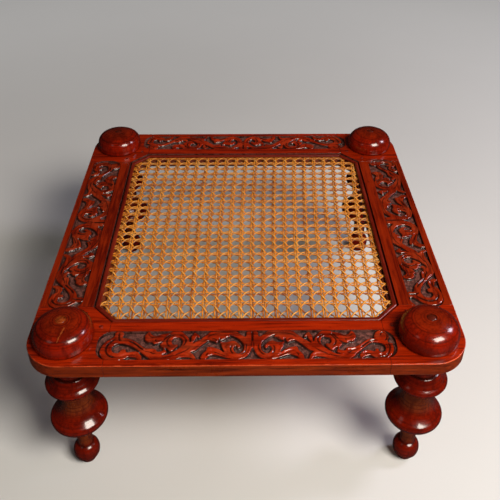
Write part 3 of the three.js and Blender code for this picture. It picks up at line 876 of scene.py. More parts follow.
# Cuts into the stems, each with its width and its depth as a share of the deepest. The broad ones are shallow
# hollows and the narrow ones are lines.
INCISED = (
    ("palmette vein", 2.2, 0.90, ((0.0, 20.0), (0.0, 16.9), (0.1, 13.0), (0.0, 9.1), (0.0, 4.7))),
    ("petal", 1.3, 0.50, ((-3.7, 11.6), (-2.8, 9.1), (-1.4, 6.9))),
    ("arm line", 1.4, 0.70, (
        (6.3, 1.6), (6.1, -1.4), (6.5, -5.6), (7.9, -9.1), (10.1, -11.6), (12.6, -12.7),
    )),
    ("arm outer", 1.2, 0.30, ((0.5, 4.7), (1.3, 0.8), (1.2, -3.1))),
    ("lobe line", 1.6, 0.70, ((20.3, -0.1), (21.7, -2.3), (22.0, -5.6), (21.2, -8.9), (19.1, -11.7))),
    ("top run", 1.0, 0.25, (
        (6.9, 11.9), (11.3, 14.7), (16.9, 16.4), (24.1, 17.2), (31.9, 17.4), (37.4, 17.2),
    )),
    ("cusp line", 1.9, 0.80, ((25.2, 11.6), (27.2, 9.1), (29.4, 7.7))),
    ("cusp line 2", 1.3, 0.40, ((35.8, 6.3), (38.6, 8.8), (41.3, 8.4))),
    ("leaf line", 1.7, 0.50, ((26.3, -15.3), (29.1, -13.4), (32.4, -11.6), (35.8, -10.2), (38.6, -9.8))),
    ("leaf line 2", 1.4, 0.40, ((43.3, -10.3), (45.2, -11.7), (45.8, -14.8))),
    ("stem line", 1.4, 0.45, ((62.2, -2.6), (65.2, -5.9), (69.7, -9.2), (74.1, -11.0), (76.3, -12.6),
        (80.8, -14.3), (86.3, -15.3), (91.3, -14.8))),
    ("stem line up", 1.2, 0.30, ((31.9, 16.4), (37.4, 15.8), (41.9, 13.8), (45.8, 10.8))),
    ("volute line", 1.6, 0.60, (
        (74.7, 14.7), (70.8, 12.4), (68.1, 9.7), (67.1, 6.1), (68.0, 2.4), (69.9, -0.9),
    )),
    ("volute line right", 1.7, 0.70, ((78.0, 14.8), (81.3, 13.8), (84.4, 10.8), (86.1, 6.9), (85.9, 3.6),
        (84.4, 0.2), (81.9, -2.3))),
    ("leaf parting", 2.3, 0.90, ((82.4, 16.3), (86.3, 12.2), (89.7, 7.7))),
    ("top leaf line", 1.2, 0.35, ((91.3, 13.6), (96.3, 11.9), (100.8, 11.6), (104.1, 13.6), (105.8, 16.3))),
    ("top leaf cusp", 1.3, 0.50, ((97.2, 9.7), (97.8, 7.3), (96.3, 5.3))),
    ("rise groove", 1.9, 0.90, ((111.3, -5.4), (115.8, -1.4), (120.2, 2.0), (124.7, 4.7), (129.1, 5.9),
        (133.0, 4.9))),
    ("rise leaf line", 1.6, 0.60, ((95.8, -9.8), (98.6, -10.6), (101.9, -8.4), (106.3, -7.3))),
    ("hook line", 1.4, 0.40, ((115.2, -13.4), (119.1, -12.6), (123.0, -13.1))),
    ("coil parting", 2.0, 0.80, ((144.6, 2.7), (145.7, -1.7), (144.9, -7.0), (142.1, -12.6), (138.6, -15.9),
        (133.6, -16.8), (128.6, -15.3))),
    ("coil inner", 1.2, 0.30, ((141.9, 0.8), (143.1, -3.1), (142.6, -7.0))),
    ("ring", 1.7, 0.70, ((137.4, 11.1), (138.1, 14.7), (140.5, 16.8), (143.3, 16.1), (145.2, 13.3),
        (145.0, 9.7), (143.1, 6.3), (140.5, 5.2))),
    ("leaf hollow", 3.6, 1.10, ((24.0, -14.8), (31.0, -10.6), (38.0, -7.4), (44.0, -6.8))),
    ("trough leaf hollow", 3.6, 1.00, ((60.0, -14.6), (65.0, -12.2), (72.0, -11.6), (80.0, -13.0))),
    ("hook leaf hollow", 3.6, 1.15, (
        (112.6, -15.0), (117.0, -10.6), (124.0, -11.6), (132.0, -14.2), (138.0, -12.6),
    )),
    ("rise leaf hollow", 3.4, 1.10, ((97.0, -7.0), (103.0, -6.8), (109.0, -5.0))),
    ("top leaf hollow", 4.4, 0.90, ((84.0, 12.4), (92.0, 9.8), (100.0, 9.6), (105.0, 13.0))),
    ("stem hollow", 4.6, 0.60, ((42.0, 13.4), (49.0, 7.0), (56.0, -0.4), (63.0, -6.4))),
    ("trough hollow", 4.0, 0.70, ((70.0, -14.6), (80.0, -16.2), (90.0, -15.2), (101.0, -10.6))),
    ("volute hollow", 3.6, 0.80, ((4.4, 1.0), (4.6, -5.0), (8.6, -12.4), (15.0, -15.6), (22.4, -13.0))),
    ("lobe hollow", 4.0, 0.80, ((26.4, 2.0), (27.6, -3.0), (25.0, -9.6))),
)


# At some ends the arm runs up to the band's edge without the ring. There these outlines and cuts take the
# place of those of the same name, and those without points are left out.
PLAIN_GROUND = (
    ("second field", SECOND_FIELD + ((107.4, -2.8), (110.0, -0.6),
        (112.6, 1.8), (116.6, 5.4), (120.0, 8.0), (123.8, 9.9), (127.4, 10.9), (130.0, 11.4), (130.9, 12.8),
        (130.3, 14.8), (130.1, 16.8), (131.0, 19.0), (131.0, 21.3), (106.3, 21.3))),
    ("end crescent", (
        (112.3, -7.0), (115.2, -4.3), (120.0, -0.8), (123.8, 1.4), (128.6, 3.0), (132.4, 3.4), (135.7, 2.4),
        (138.2, 0.6), (139.5, -2.0), (139.6, -5.0), (138.2, -7.6), (135.8, -9.1), (133.3, -9.3),
        (131.6, -8.0), (131.0, -6.0), (129.7, -4.6), (127.4, -4.2), (125.7, -5.2), (125.3, -7.2),
        (123.8, -8.6), (121.0, -8.2), (118.0, -7.4), (115.2, -7.6), (113.2, -8.4),
    )),
    ("end top", ()),
    ("end side", ((138.8, 21.3), (139.4, 17.8), (139.2, 15.2), (140.4, 12.5), (143.7, 9.2), (147.4, 5.0),
        (149.8, 0.3), (150.8, -4.0), (150.8, -8.0), (149.4, -12.0), (147.0, -15.6), (143.9, -18.2),
        (141.3, -21.4), (157.4, -22.6), (157.4, 21.3))),
)
PLAIN_INCISED = (
    ("ring", 0, 0, ()),
    ("coil inner", 0, 0, ()),
    ("coil parting", 2.2, 0.90, ((137.1, 10.5), (139.9, 7.5), (142.8, 4.0), (144.5, 0.0), (145.1, -4.0),
        (144.2, -8.5), (141.8, -12.0), (138.4, -14.4), (133.0, -15.2))),
    ("neck parting", 1.8, 0.80, ((135.2, 18.8), (134.8, 14.0), (134.4, 10.0), (132.4, 6.2))),
    ("rise groove", 1.9, 0.85, ((107.5, -6.5), (111.8, -3.0), (115.2, 0.5), (119.5, 4.0), (124.4, 6.4))),
    ("coil hollow", 3.4, 0.60, ((142.2, 0.6), (142.9, -4.4), (141.6, -9.4), (137.6, -12.4))),
)


def with_plain_end(drawing, plain):
    """A drawing in which the entries of a plain end take the place of those with their names."""
    names = [entry[0] for entry in plain]
    return [entry for entry in drawing if entry[0] not in names] + [entry for entry in plain if entry[-1]]


DRAWINGS = {
    "ringed": (GROUND, INCISED),
    "plain": (with_plain_end(GROUND, PLAIN_GROUND), with_plain_end(INCISED, PLAIN_INCISED)),
}
# How the drawing ends at the left and at the right of each rail, as seen from outside
ENDS = {
    "front": ("plain", "ringed"),
    "right": ("plain", "ringed"),
    "back": ("ringed", "ringed"),
    "left": ("ringed", "plain"),
}
# The same drawing lies a little differently on each rail, as it was laid out by hand. Each place moves along
# its rail by these amounts in millimetres, times the powers 0, 1 and 2 of its distance from the middle as a
# share of the half length, and less and less towards the ends.
LAID_OUT = {
    "front": (5.6, 3.8, 3.5),
    "right": (6.0, 18.0, 21.0),
    "back": (2.5, -2.0, 6.0),
    "left": (-4.0, 17.4, 5.8),
}
# Spacing of the points along a drawn curve
CURVE_STEP = 0.9
# How far from an outline its distance is worked out, which is well past a stem's rounded edge
OUTLINE_REACH = 5.0
# Cuts from this width up are hollows, which keep their colour, and narrower ones are lines, which are
# darkened
HOLLOW_WIDTH = 3.0


def laid_out(u, half_length, amounts):
    """Where places along the drawing come to lie on a rail: u plus a quadratic in its share of the half
    length, times one minus that share squared."""
    share = u / half_length
    return u + (1 - share**2) * (amounts[0] + amounts[1] * share + amounts[2] * share**2)


def smooth_ring(points, step):
    """The Catmull-Rom curve of smooth_path, closed."""
    p = np.asarray(points, float)
    path = smooth_path(np.vstack([p[-2:], p, p[:2]]), step)
    start = np.hypot(*(path - p[0]).T).argmin()
    finish = len(path) - 1 - np.hypot(*(path[::-1] - p[0]).T).argmin()
    return path[start:finish]


def distance_to_path(spot, path):
    """Each place's distance to the nearest stretch of a path, and how far along the path that is as a share.
    On a stretch from a to b the nearest place is a plus t times b less a, with t the projection on it, kept
    in 0 to 1."""
    a, b = path[:-1], path[1:]
    ab = b - a
    t = np.clip(((spot[:, None] - a) * ab).sum(-1) / (ab**2).sum(-1), 0, 1)
    gap = np.hypot(*np.moveaxis(a + t[..., None] * ab - spot[:, None], -1, 0))
    k = gap.argmin(1)
    rows = np.arange(len(spot))
    return gap[rows, k], (k + t[rows, k]) / len(a)


def inside_ring(spot, ring):
    """Whether a place is inside a closed outline: a level ray from it then meets an odd number of sides."""
    x, y = spot[:, :1], spot[:, 1:]
    a, b = ring, np.roll(ring, -1, 0)
    rise = np.where(b[:, 1] == a[:, 1], 1.0, b[:, 1] - a[:, 1])
    crosses = (a[:, 1] > y) != (b[:, 1] > y)
    at = (b[:, 0] - a[:, 0]) * (y - a[:, 1]) / rise + a[:, 0]
    return (crosses & (x < at)).sum(1) % 2 == 1


def near_curve(spot, curve, reach):
    """Whether a place is less than the reach outside the box round a curve."""
    return ((spot > curve.min(0) - reach) & (spot < curve.max(0) + reach)).all(1)


def distance_to_ground(spot, outlines):
    """Each place's distance to the nearest outline of the ground, negative inside it."""
    distance = np.full(len(spot), OUTLINE_REACH)
    for _, points in outlines:
        ring = smooth_ring(points, CURVE_STEP)
        near = near_curve(spot, ring, OUTLINE_REACH)
        gap, _ = distance_to_path(spot[near], np.vstack([ring, ring[:1]]))
        distance[near] = np.minimum(distance[near], np.where(inside_ring(spot[near], ring), -gap, gap))
    return distance


def cuts_at(spot, cuts):
    """How deep each place is cut, as a share of the deepest, and how dark its narrow lines are made. Each cut
    is a bell curve across its path, tapered at its ends."""
    depth = np.zeros(len(spot))
    line_dark = np.zeros(len(spot))
    for _, width, amount, points in cuts:
        path = smooth_path(points, CURVE_STEP)
        near = near_curve(spot, path, width)
        gap, share = distance_to_path(spot[near], path)
        taper = np.minimum(1, 6 * np.minimum(share, 1 - share) + 0.1)
        across = np.exp(-1.2 * (2 * gap / width) ** 2) * taper
        depth[near] = np.maximum(depth[near], across * amount)
        if width < HOLLOW_WIDTH:
            line_dark[near] = np.maximum(line_dark[near], np.clip(1.7 * across, 0, 1) * amount**0.2)
    return depth, line_dark


def carve(u, v, carving, outlines, cuts):
    """Height of the carving at each place, how much of it is stem and how dark it is made. A smooth step
    over the wall's width leads from the ground up to a flat top, whose edge falls away and which the cuts go
    into. The lines are darkened, and painted shade lies along the foot of the wall."""
    spot = np.stack([u.ravel(), v.ravel()], -1)
    distance = distance_to_ground(spot, outlines)
    depth, line_dark = cuts_at(spot, cuts)
    on_top = smoothstep(distance, -0.3, 0.6)
    stem = smoothstep(distance, -carving.wall, 0.15)
    top = -carving.stem_drop - carving.edge_drop * (1 - smoothstep(distance, 0, carving.rounding)) ** 1.5
    top -= carving.line_depth * depth * on_top
    height = -carving.ground_depth + (top + carving.ground_depth) * stem
    # Painted shade along the foot of the wall, up to the stem's edge
    foot_shade = smoothstep(distance, -3.0 * carving.wall, -1.2 * carving.wall)
    line = np.maximum(line_dark * on_top, foot_shade * (1 - smoothstep(distance, -0.15, 0.35)))
    return height.reshape(u.shape), stem.reshape(u.shape), line.reshape(u.shape)


def punched_ground(u, v, carving):
    """Depth of the punch marks: a round dent about each point of a shaken square lattice, as deep as one
    minus the squared distance to its centre over the dent's radius."""
    random = np.random.default_rng(7)
    pitch = carving.punch_pitch
    half = np.array([200, 50])
    shake = random.uniform(-0.3, 0.3, (*(2 * half + 1), 2)) * pitch
    cells = np.round(np.stack([u, v], -1) / pitch).astype(int)
    depth = np.zeros(u.shape)
    for i in (-1, 0, 1):
        for j in (-1, 0, 1):
            cell = cells + (i, j)
            along, across = np.moveaxis(cell + half, -1, 0)
            centre = cell * pitch + shake[along, across]
            distance = np.hypot(u - centre[..., 0], v - centre[..., 1]) / (0.45 * pitch)
            depth = np.maximum(depth, np.clip(1 - distance**2, 0, 1))
    return depth * carving.punch_depth


def carving_grid(sizes, carving):
    """The places of one panel's surface, along the rail and across it, and how far the panel reaches to each
    side of its centre line there. That shrinks towards the ends as the round corners do."""
    half_length = sizes.panel_length / 2 - carving.clearance
    half_width = sizes.band_width / 2 - carving.clearance
    radius = sizes.panel_radius
    steps = int(2 * half_length / carving.grid) // 2 * 2 + 1
    u = np.linspace(-half_length, half_length, steps)
    into_corner = np.clip(abs(u) - (half_length - radius), 0, radius)
    width_here = half_width - radius + np.sqrt(np.clip(radius**2 - into_corner**2, 0, None))
    rows = int(2 * half_width / carving.grid)
    share = np.linspace(-1, 1, rows)
    return np.repeat(u[:, None], rows, 1), width_here[:, None] * share[None, :], width_here


def carving_surface(grid, halves, carving):
    """Height, stem and darkening over one panel: its left half is a right half mirrored, the ground is
    punched, and painted shade lies in the dents and along the rim."""
    grid_u, grid_v, width_here = grid
    height, stem, line = (np.concatenate([left[:0:-1], right]) for left, right in zip(*halves))
    dents = punched_ground(grid_u, grid_v, carving) * (1 - stem)
    from_rim = width_here[:, None] - abs(grid_v)
    # Painted shade: a dark strip along the panel's rim, and darkening in the punched dents
    rim = (1 - smoothstep(from_rim, 0.3, 1.6)) * (1 - 0.4 * stem)
    line = np.maximum(np.maximum(line, rim), 0.55 * dents / carving.punch_depth)
    return height - dents, stem, line


def carving_mesh(name, quarter, grid, surface, sizes):
    """The panel's top, closed by a wall down to the recess's floor and a flat underside. The surface is given
    on an even grid, and its rows move along the rail to where they are laid out."""
    grid_u, grid_v, _ = grid
    rows, columns = grid_u.shape
    even = grid_u[:, 0]
    drawn = np.interp(even, laid_out(even, even[-1], LAID_OUT[SIDES[quarter]]), even)
    row = np.interp(drawn, even, np.arange(rows))
    below = np.clip(row.astype(int), 0, rows - 2)
    share = (row - below)[:, None]
    height, stem, line = (field[below] * (1 - share) + field[below + 1] * share for field in surface)
    inwards = sizes.outer_strip + sizes.band_width / 2 + grid_v
    top = place_on_side(quarter, grid_u, inwards, FRAME_TOP + height).reshape(-1, 3)
    rim = np.concatenate([
        np.arange(columns), np.arange(1, rows) * columns + columns - 1,
        np.arange(columns - 2, -1, -1) + (rows - 1) * columns, np.arange(rows - 2, 0, -1) * columns,
    ])
    floor = top[rim]
    floor[:, 2] = FRAME_TOP - sizes.panel_depth
    ring = len(top) + np.arange(len(rim))
    wall = np.stack([rim, ring, np.roll(ring, -1), np.roll(rim, -1)], -1)
    faces = [*grid_faces(rows, columns).tolist(), *wall.tolist(), ring[::-1].tolist()]
    none = np.zeros(len(rim))
    # The line field: darkened incised lines, and painted shade at the walls' foot, the rim and the dents
    fields = {"stem": np.concatenate([stem.ravel(), none]), "line": np.concatenate([line.ravel(), none])}
    return closed_mesh(name, np.vstack([top, floor]), faces, fields)


class SEAT_OT_carving(bpy.types.Operator):
    """Carves the scrolls into the sunk panels of the four rails"""

    bl_idname = "seat.carving"
    bl_label = "Carving"

    def execute(self, context):
        sizes = values_of(context.scene.seat_frame)
        colours = values_of(context.scene.seat_colours)
        carving = values_of(context.scene.seat_carving)
        grid = carving_grid(sizes, carving)
        right_half = [places[len(places) // 2:] for places in grid[:2]]
        drawn = {kind: carve(*right_half, carving, *drawing) for kind, drawing in DRAWINGS.items()}
        woods = [
            carved_wood(f"carved_wood_{along}", colours, light, along)
            for along, light in enumerate((colours.rail, colours.side_rail))
        ]
        for quarter, side in enumerate(SIDES):
            name = f"{side}_carving"
            surface = carving_surface(grid, [drawn[kind] for kind in ENDS[side]], carving)
            geometry = carving_mesh(name, quarter, grid, surface, sizes)
            finish_piece(name, geometry, [woods[quarter % 2]], smooth_degrees=60)
        return {"FINISHED"}


# Turnings

# Outlines as runs of gauge points, radius and height, in millimetres. A run is smooth, and two runs meet at
# an arris or a crease. The leg's heights are above the floor, the knob's above the frame's top.
LEG_RUNS = (
    ((0, 0), (8.6, 0)),
    ((8.6, 0), (9.3, 0.7), (9.4, 2.5), (9.6, 4.6)),
    ((9.6, 4.6), (12.4, 7), (14.6, 11.5), (15.2, 17), (14.5, 21.8), (12.6, 25.6), (10.6, 27.6), (8.9, 28.7)),
    ((8.9, 28.7), (8.9, 35), (9, 45), (9.6, 56), (12.4, 63)),
    ((12.4, 63), (20.2, 66.9), (27.2, 72.2), (30.9, 77.2), (32, 81.8), (31.6, 84.2)),
    ((31.6, 84.2), (30.6, 86), (27.8, 88.2), (24.7, 90.9), (22, 94), (19.8, 97.8), (18.2, 102.2), (17.2, 107),
     (16.8, 113), (17, 122), (18, 128)),
    ((18, 128), (23.4, 130.2), (27.6, 133.8), (29.4, 138), (29, 139.9)),
    ((29, 139.9), (27.8, 141.3), (25.2, 143.7)),
    ((25.2, 143.7), (24.3, 145.4), (22.2, 147.9)),
    ((22.2, 147.9), (21.3, 149.8), (19.3, 152.6)),
    ((19.3, 152.6), (17.2, 152.9)),
    ((17.2, 152.9), (17, 157), (17, 166), (17, 183.1)),
)
# Heights of the creases on a leg that are darkened as painted shade, and how dark each is
LEG_CREASE_SHADES = (
    (5, 0.7), (28.9, 0.6), (63, 0.35), (128, 0.8), (143.7, 0.25), (147.9, 0.3), (153.2, 0.95), (183, 0.8),
)
LEG_CREASE_WIDTH = 1.2
# Heights of the necks, where the lacquer is thin and amber, and half their lengths
LEG_NECKS = ((44, 12), (113, 14))
# Radius of a leg where it meets the block
SHOULDER_RADIUS = 17

# The knobs at the left have a turned line in their flank, painted as a dark line of shade, and those at
# the right are rounder
KNOB_RUNS = (
    ((30.6, 0), (31.5, 1.6), (31.7, 4.5), (31.4, 9), (30.4, 13.6), (28.5, 17.2), (25.9, 19.9), (22.2, 22.1),
     (16.6, 24.1), (10.6, 25.3), (5, 25.9)),
)
ROUND_KNOB_RUNS = (
    ((30.6, 0), (31.5, 1.6), (31.8, 5), (31.3, 9.5), (29.7, 14.4), (26.4, 18.8), (21.8, 22), (15.6, 24.2),
     (9, 25.5), (5, 25.9)),
)
KNOB_LINE_HEIGHT = 19.8
# Radius of the turned ring round the pin
KNOB_RING_RADIUS = 8.2
# Radii between which the raw wood round the pin goes over into lacquer, and thin lacquer into thick
RAW_RADII = (4.9, 6.3)
THIN_RADII = (14, 26)
# Both ends of the split in the front left knob, to the right of the knob's axis and behind it
KNOB_SPLIT = ((5.8, -10.8), (1.4, -25.0))
# Radii between which a turning's runout grows from nothing to its full amount
RUNOUT_RADII = (12, 26)


def outline(runs, step=1.1):
    """The runs as one polyline of radius and height."""
    paths = [smooth_path(run, step) if len(run) > 2 else np.array(run, float) for run in runs]
    return np.vstack([*(path[:-1] for path in paths), paths[-1][-1:]])


def lathe(name, profile, centre, around, runout=0.0, masks=None, seed=0):
    """The profile of radius and height carried round an upright axis, with the masks' values at its points. A
    slow wave of two and three lobes keeps it from being truer than a hand lathe makes it."""
    random = np.random.default_rng(seed)
    phase = random.uniform(0, 2 * math.pi, 2)
    turn = np.linspace(0, 2 * math.pi, around, endpoint=False)
    radius, height = profile.T
    wobble = runout * (np.sin(2 * turn + phase[0]) + 0.6 * np.sin(3 * turn + phase[1]))
    lobes = radius[:, None] + wobble[None, :] * smoothstep(radius, *RUNOUT_RADII)[:, None]
    x = centre[0] + lobes * np.cos(turn)
    y = centre[1] + lobes * np.sin(turn)
    points = np.stack([x, y, np.repeat(height[:, None], around, 1)], -1)
    fields = {**(masks or {}), "turned": distance_along(profile)}
    fields = {key: np.repeat(values[:, None], around, 1) for key, values in fields.items()}
    faces = grid_faces(len(profile), around, wrap_columns=True).tolist()
    return closed_mesh(name, points, faces, fields, weld=True)


def leg_profile(sizes):
    """The leg's outline up to the frame, then its tenon through the block and its pin through the knob."""
    shoulder = FRAME_UNDERSIDE - sizes.shoulder_gap
    tenon_top = FRAME_TOP - sizes.tenon_sink
    tip = LEG_HIGH[2]
    pin, rounding = sizes.pin_radius, sizes.pin_rounding
    return np.vstack([
        outline(LEG_RUNS)[:-1],
        [(SHOULDER_RADIUS, shoulder), (sizes.tenon_radius, shoulder), (sizes.tenon_radius, tenon_top)],
        [(pin, tenon_top), (pin, tip - rounding), (pin - 0.8 * rounding, tip - 0.1 * rounding), (0, tip)],
    ])


class SEAT_OT_legs(bpy.types.Operator):
    """Turns the four legs, each with the tenon and pin that pass up through the block and the knob"""

    bl_idname = "seat.legs"
    bl_label = "Legs"

    def execute(self, context):
        sizes = values_of(context.scene.seat_turning)
        colours = values_of(context.scene.seat_colours)
        woods = {
            corner: turned_wood(f"leg_wood_{corner}", colours, colours.leg, colours.leg_dark, end_colour)
            for corner, end_colour in (("front_left", colours.raw_end), ("front_right", colours.end_grain))
        }
        profile = leg_profile(sizes)
        height = profile[:, 1]
        crease_shades = sum(amount * bell(height, level, LEG_CREASE_WIDTH) for level, amount in LEG_CREASE_SHADES)
        masks = {
            "crease": np.clip(crease_shades, 0, 1),
            "end": (height > LEG_HIGH[2] - 2 * sizes.pin_rounding).astype(float),
            "thin": sum(bell(height, level, half, power=4) for level, half in LEG_NECKS),
        }
        for seed, (corner, (x, y)) in enumerate(CORNERS.items()):
            name = f"{corner}_leg"
            centre = (x * AXIS_X, y * AXIS_Y)
            geometry = lathe(name, profile, centre, sizes.around, sizes.runout, masks, seed)
            wood = woods.get(corner, woods["front_right"])
            finish_piece(name, geometry, [wood], (f"leg_{corner}",), smooth_degrees=50)
        return {"FINISHED"}


class SEAT_OT_knobs(bpy.types.Operator):
    """Turns the four knobs, bored for the legs' pins"""

    bl_idname = "seat.knobs"
    bl_label = "Knobs"

    def execute(self, context):
        sizes = values_of(context.scene.seat_turning)
        colours = values_of(context.scene.seat_colours)
        shades = (colours, colours.knob, colours.turned_dark)
        split = [(x - AXIS_X, y - AXIS_Y) for x, y in KNOB_SPLIT]
        wood = turned_wood("knob_wood", *shades, colours.end_grain)
        worn = turned_wood("knob_wood_worn", *shades, colours.raw_end, split)
        base = node_box("knob_front_right")[0][2]
        bore = (sizes.knob_bore, 0)
        for seed, (corner, (x, y)) in enumerate(CORNERS.items(), 10):
            name = f"{corner}_knob"
            runs, line_share = (KNOB_RUNS, 0.7) if x < 0 else (ROUND_KNOB_RUNS, 0.0)
            profile = np.vstack([bore, outline(runs), bore])
            radius, height = profile.T
            # Darkened: the left knobs' turned line and the knob's foot on the frame as painted shade, and a
            # ring round the pin
            crease_shades = (
                line_share * bell(height, KNOB_LINE_HEIGHT, 0.8),
                0.8 * bell(height, 0, 0.8),
                0.45 * bell(radius, KNOB_RING_RADIUS, 0.7),
            )
            masks = {
                "crease": np.max(crease_shades, axis=0),
                "end": 0.7 * (1 - smoothstep(radius, *RAW_RADII)) * (height > 0),
                "thin": 0.3 * (1 - smoothstep(radius, *THIN_RADII)),
            }
            centre = (x * AXIS_X, y * AXIS_Y)
            geometry = lathe(name, profile + (0, base), centre, sizes.around, sizes.runout, masks, seed)
            skin = worn if corner == "front_left" else wood
            finish_piece(name, geometry, [skin], (f"knob_{corner}",), smooth_degrees=50)
        return {"FINISHED"}


# Beads and pegs


def bead_points(side, inwards, height, lift, gap):
    """The bead's section carried along one side of the opening from mitre to mitre. Each point of the section
    runs straight between two corners of the octagon at its own inset, less the gap at both, and is lifted by
    its own row of the lifts."""
    ends = np.array([opening(BEAD_INSET + inset)[[side, (side + 1) % len(BEADS)]] for inset in inwards])
    start, finish = ends[:, 0], ends[:, 1]
    step_in = gap * (finish - start) / np.linalg.norm(finish - start, axis=1)[:, None]
    share = np.linspace(0, 1, lift.shape[1])[None, :, None]
    line = (start + step_in)[:, None] * (1 - share) + (finish - step_in)[:, None] * share
    return np.concatenate([line, (height[:, None] + lift)[..., None]], -1)


class SEAT_OT_beads(bpy.types.Operator):
    """Lays the mitred bead strips round the cane"""

    bl_idname = "seat.beads"
    bl_label = "Beads"

    def execute(self, context):
        sizes = values_of(context.scene.seat_frame)
        colours = values_of(context.scene.seat_colours)
        woods = [
            frame_wood(f"bead_wood_{along}", along, colours.bead, colours.rail_dark, roughness=0.3)
            for along in (0, 1)
        ]
        turn = np.linspace(0, math.pi, 13)
        half = BEAD_WIDTH / 2
        rise = BEAD_HIGH[2] - BEAD_LOW[2]
        shoulder = 0.45 * rise
        inwards = np.concatenate([[0], half - half * np.cos(turn), [BEAD_WIDTH]])
        above = np.concatenate([[0], shoulder + (rise - shoulder) * np.sin(turn), [0]])
        random = np.random.default_rng(3)
        for k, side in enumerate(BEADS):
            stations = 2 if k % 2 else 60
            waver = np.convolve(random.normal(0, sizes.bead_waver, stations + 8), np.ones(9) / 9, "valid")
            rounded = smoothstep(above, shoulder, rise)[:, None]
            lift = np.where(above[:, None] > 0, waver * rounded - sizes.bead_sink, 0.0)
            points = bead_points(k, inwards, BEAD_LOW[2] + above, lift, sizes.mitre_gap)
            first = np.arange(len(inwards)) * stations
            last = first + stations - 1
            faces = grid_faces(len(inwards), stations, wrap_rows=True).tolist()
            name = f"{side}_bead"
            geometry = closed_mesh(name, points, [*faces, first.tolist(), last.tolist()])
            wood = woods[1] if side in ("left", "right") else woods[0]
            finish_piece(name, geometry, [wood], (f"bead_{side}",), smooth_degrees=40)
        return {"FINISHED"}


def peg_profile(low, high, dome):
    """A peg's outline between the corners of its node's box, with a slightly domed end."""
    radius = (high[0] - low[0]) / 2
    bottom, top = low[2], high[2]
    return np.array([
        (0, bottom), (0.85 * radius, bottom), (radius, bottom + 0.3), (radius, top - 0.3),
        (0.9 * radius, top - 0.05), (0.5 * radius, top + 0.7 * dome), (0, top + dome),
    ])


class SEAT_OT_pegs(bpy.types.Operator):
    """Sets the pegs of the corner joints, with slightly domed ends"""

    bl_idname = "seat.pegs"
    bl_label = "Pegs"

    def execute(self, context):
        colours = values_of(context.scene.seat_colours)
        wood = plain_wood("peg_end_grain", scaled(colours.rail, 0.6), colours.rail_dark, 2, roughness=0.4)
        dome = values_of(context.scene.seat_frame).peg_dome
        for side in SIDES:
            for end in "ab":
                name = f"{side}_peg_{end}"
                low, high = node_box(f"peg_{side}_{end}")
                geometry = lathe(name, peg_profile(low, high, dome), (low + high)[:2] / 2, around=24)
                finish_piece(name, geometry, [wood], (f"peg_{side}_{end}",), smooth_degrees=50)
        return {"FINISHED"}


# Cane

# A strand's section, as shares of its half width and of its thickness: a domed bark side and a flatter back
SECTION_SHARES = np.array([(-1, 0), (-0.72, 0.4), (0, 0.56), (0.72, 0.4), (1, 0), (0.6, -0.4), (-0.6, -0.4)])
# The slow waves in which a strand wanders: the length over which each turns by one radian, and its share
WANDER_WAVES = ((31, 1), (13, 0.7), (6.1, 0.5))


class StrandMesh:
    """Collects strands into one mesh, which carries each strand's tone, the place across and along it, and
    how low it lies in the weave."""

    def __init__(self, sizes, seed):
        self.sizes = sizes
        self.random = np.random.default_rng(seed)
        self.points, self.faces = [], []
        self.fields = {"tone": [], "across": [], "along": [], "sunk": []}
        self.total = 0

    def add(self, path, width, along, sunk):
        """Carries the section along a path of points. Its sides lie level, square to the path."""
        tangent = np.gradient(path, axis=0)
        tangent /= np.linalg.norm(tangent, axis=1)[:, None]
        side = np.stack([-tangent[:, 1], tangent[:, 0], np.zeros(len(path))], -1)
        side /= np.linalg.norm(side, axis=1)[:, None]
        up = np.cross(tangent, side)
        wide = SECTION_SHARES[:, 0] * width / 2
        high = SECTION_SHARES[:, 1] * self.sizes.strand_thickness
        points = path[:, None] + side[:, None] * wide[None, :, None] + up[:, None] * high[None, :, None]
        rows, columns = points.shape[:2]
        self.faces += (grid_faces(rows, columns, wrap_columns=True) + self.total).tolist()
        self.faces.append((self.total + np.arange(columns)[::-1]).tolist())
        self.faces.append((self.total + (rows - 1) * columns + np.arange(columns)).tolist())
        self.points.append(points.reshape(-1, 3))
        self.fields["tone"].append(np.full(rows * columns, self.random.uniform(0, 1)))
        self.fields["across"].append(np.tile(SECTION_SHARES[:, 0], rows))
        self.fields["along"].append(np.repeat(along, columns))
        self.fields["sunk"].append(np.repeat(sunk, columns))
        self.total += rows * columns

    def finish(self, name, skin, replaced=()):
        fields = {key: np.concatenate(values) for key, values in self.fields.items()}
        geometry = closed_mesh(name, np.vstack(self.points), self.faces, fields)
        finish_piece(name, geometry, [skin], replaced, smooth_degrees=60)


def inside_convex(points, corners):
    """Whether each point is inside a convex outline that runs anticlockwise: left of all its sides."""
    edges = np.roll(corners, -1, 0) - corners
    away = points[:, None] - corners
    return (edges[:, 0] * away[..., 1] - edges[:, 1] * away[..., 0] > 0).all(1)


def weave_place(u, v, sizes):
    """Place in the seat of a place in the weave, whose holes are centred on whole numbers. It is hand work:
    the rows are level and evenly spaced, but for the front ones, which are pulled forward by the square of
    how far they lie beyond a line. The columns fan out, and lean in a shallow curve."""
    y = sizes.shift_y + v * sizes.pitch_deep
    beyond = np.clip((-0.5 * HALF_DEPTH - y) / (0.2 * HALF_DEPTH), 0, None)
    y = y - sizes.front_pull * beyond**2
    x = sizes.shift_x + sizes.skew * y + sizes.bow * y**2 + u * (sizes.pitch_across + sizes.fanning * y)
    return np.stack([x, y], -1)


def pair_wave(place, spread):
    """Height of one strand of a pair where it crosses the two strands of another pair, of which it passes
    over one and under the other: minus x times the bell curve of x, scaled to reach one at the strands."""
    x = place / spread
    return -x * np.exp((1 - x**2) / 2)


def from_pair(place):
    """Distance to the nearest pair, with its sign, where the pairs lie halfway between whole numbers."""
    return place - np.floor(place) - 0.5


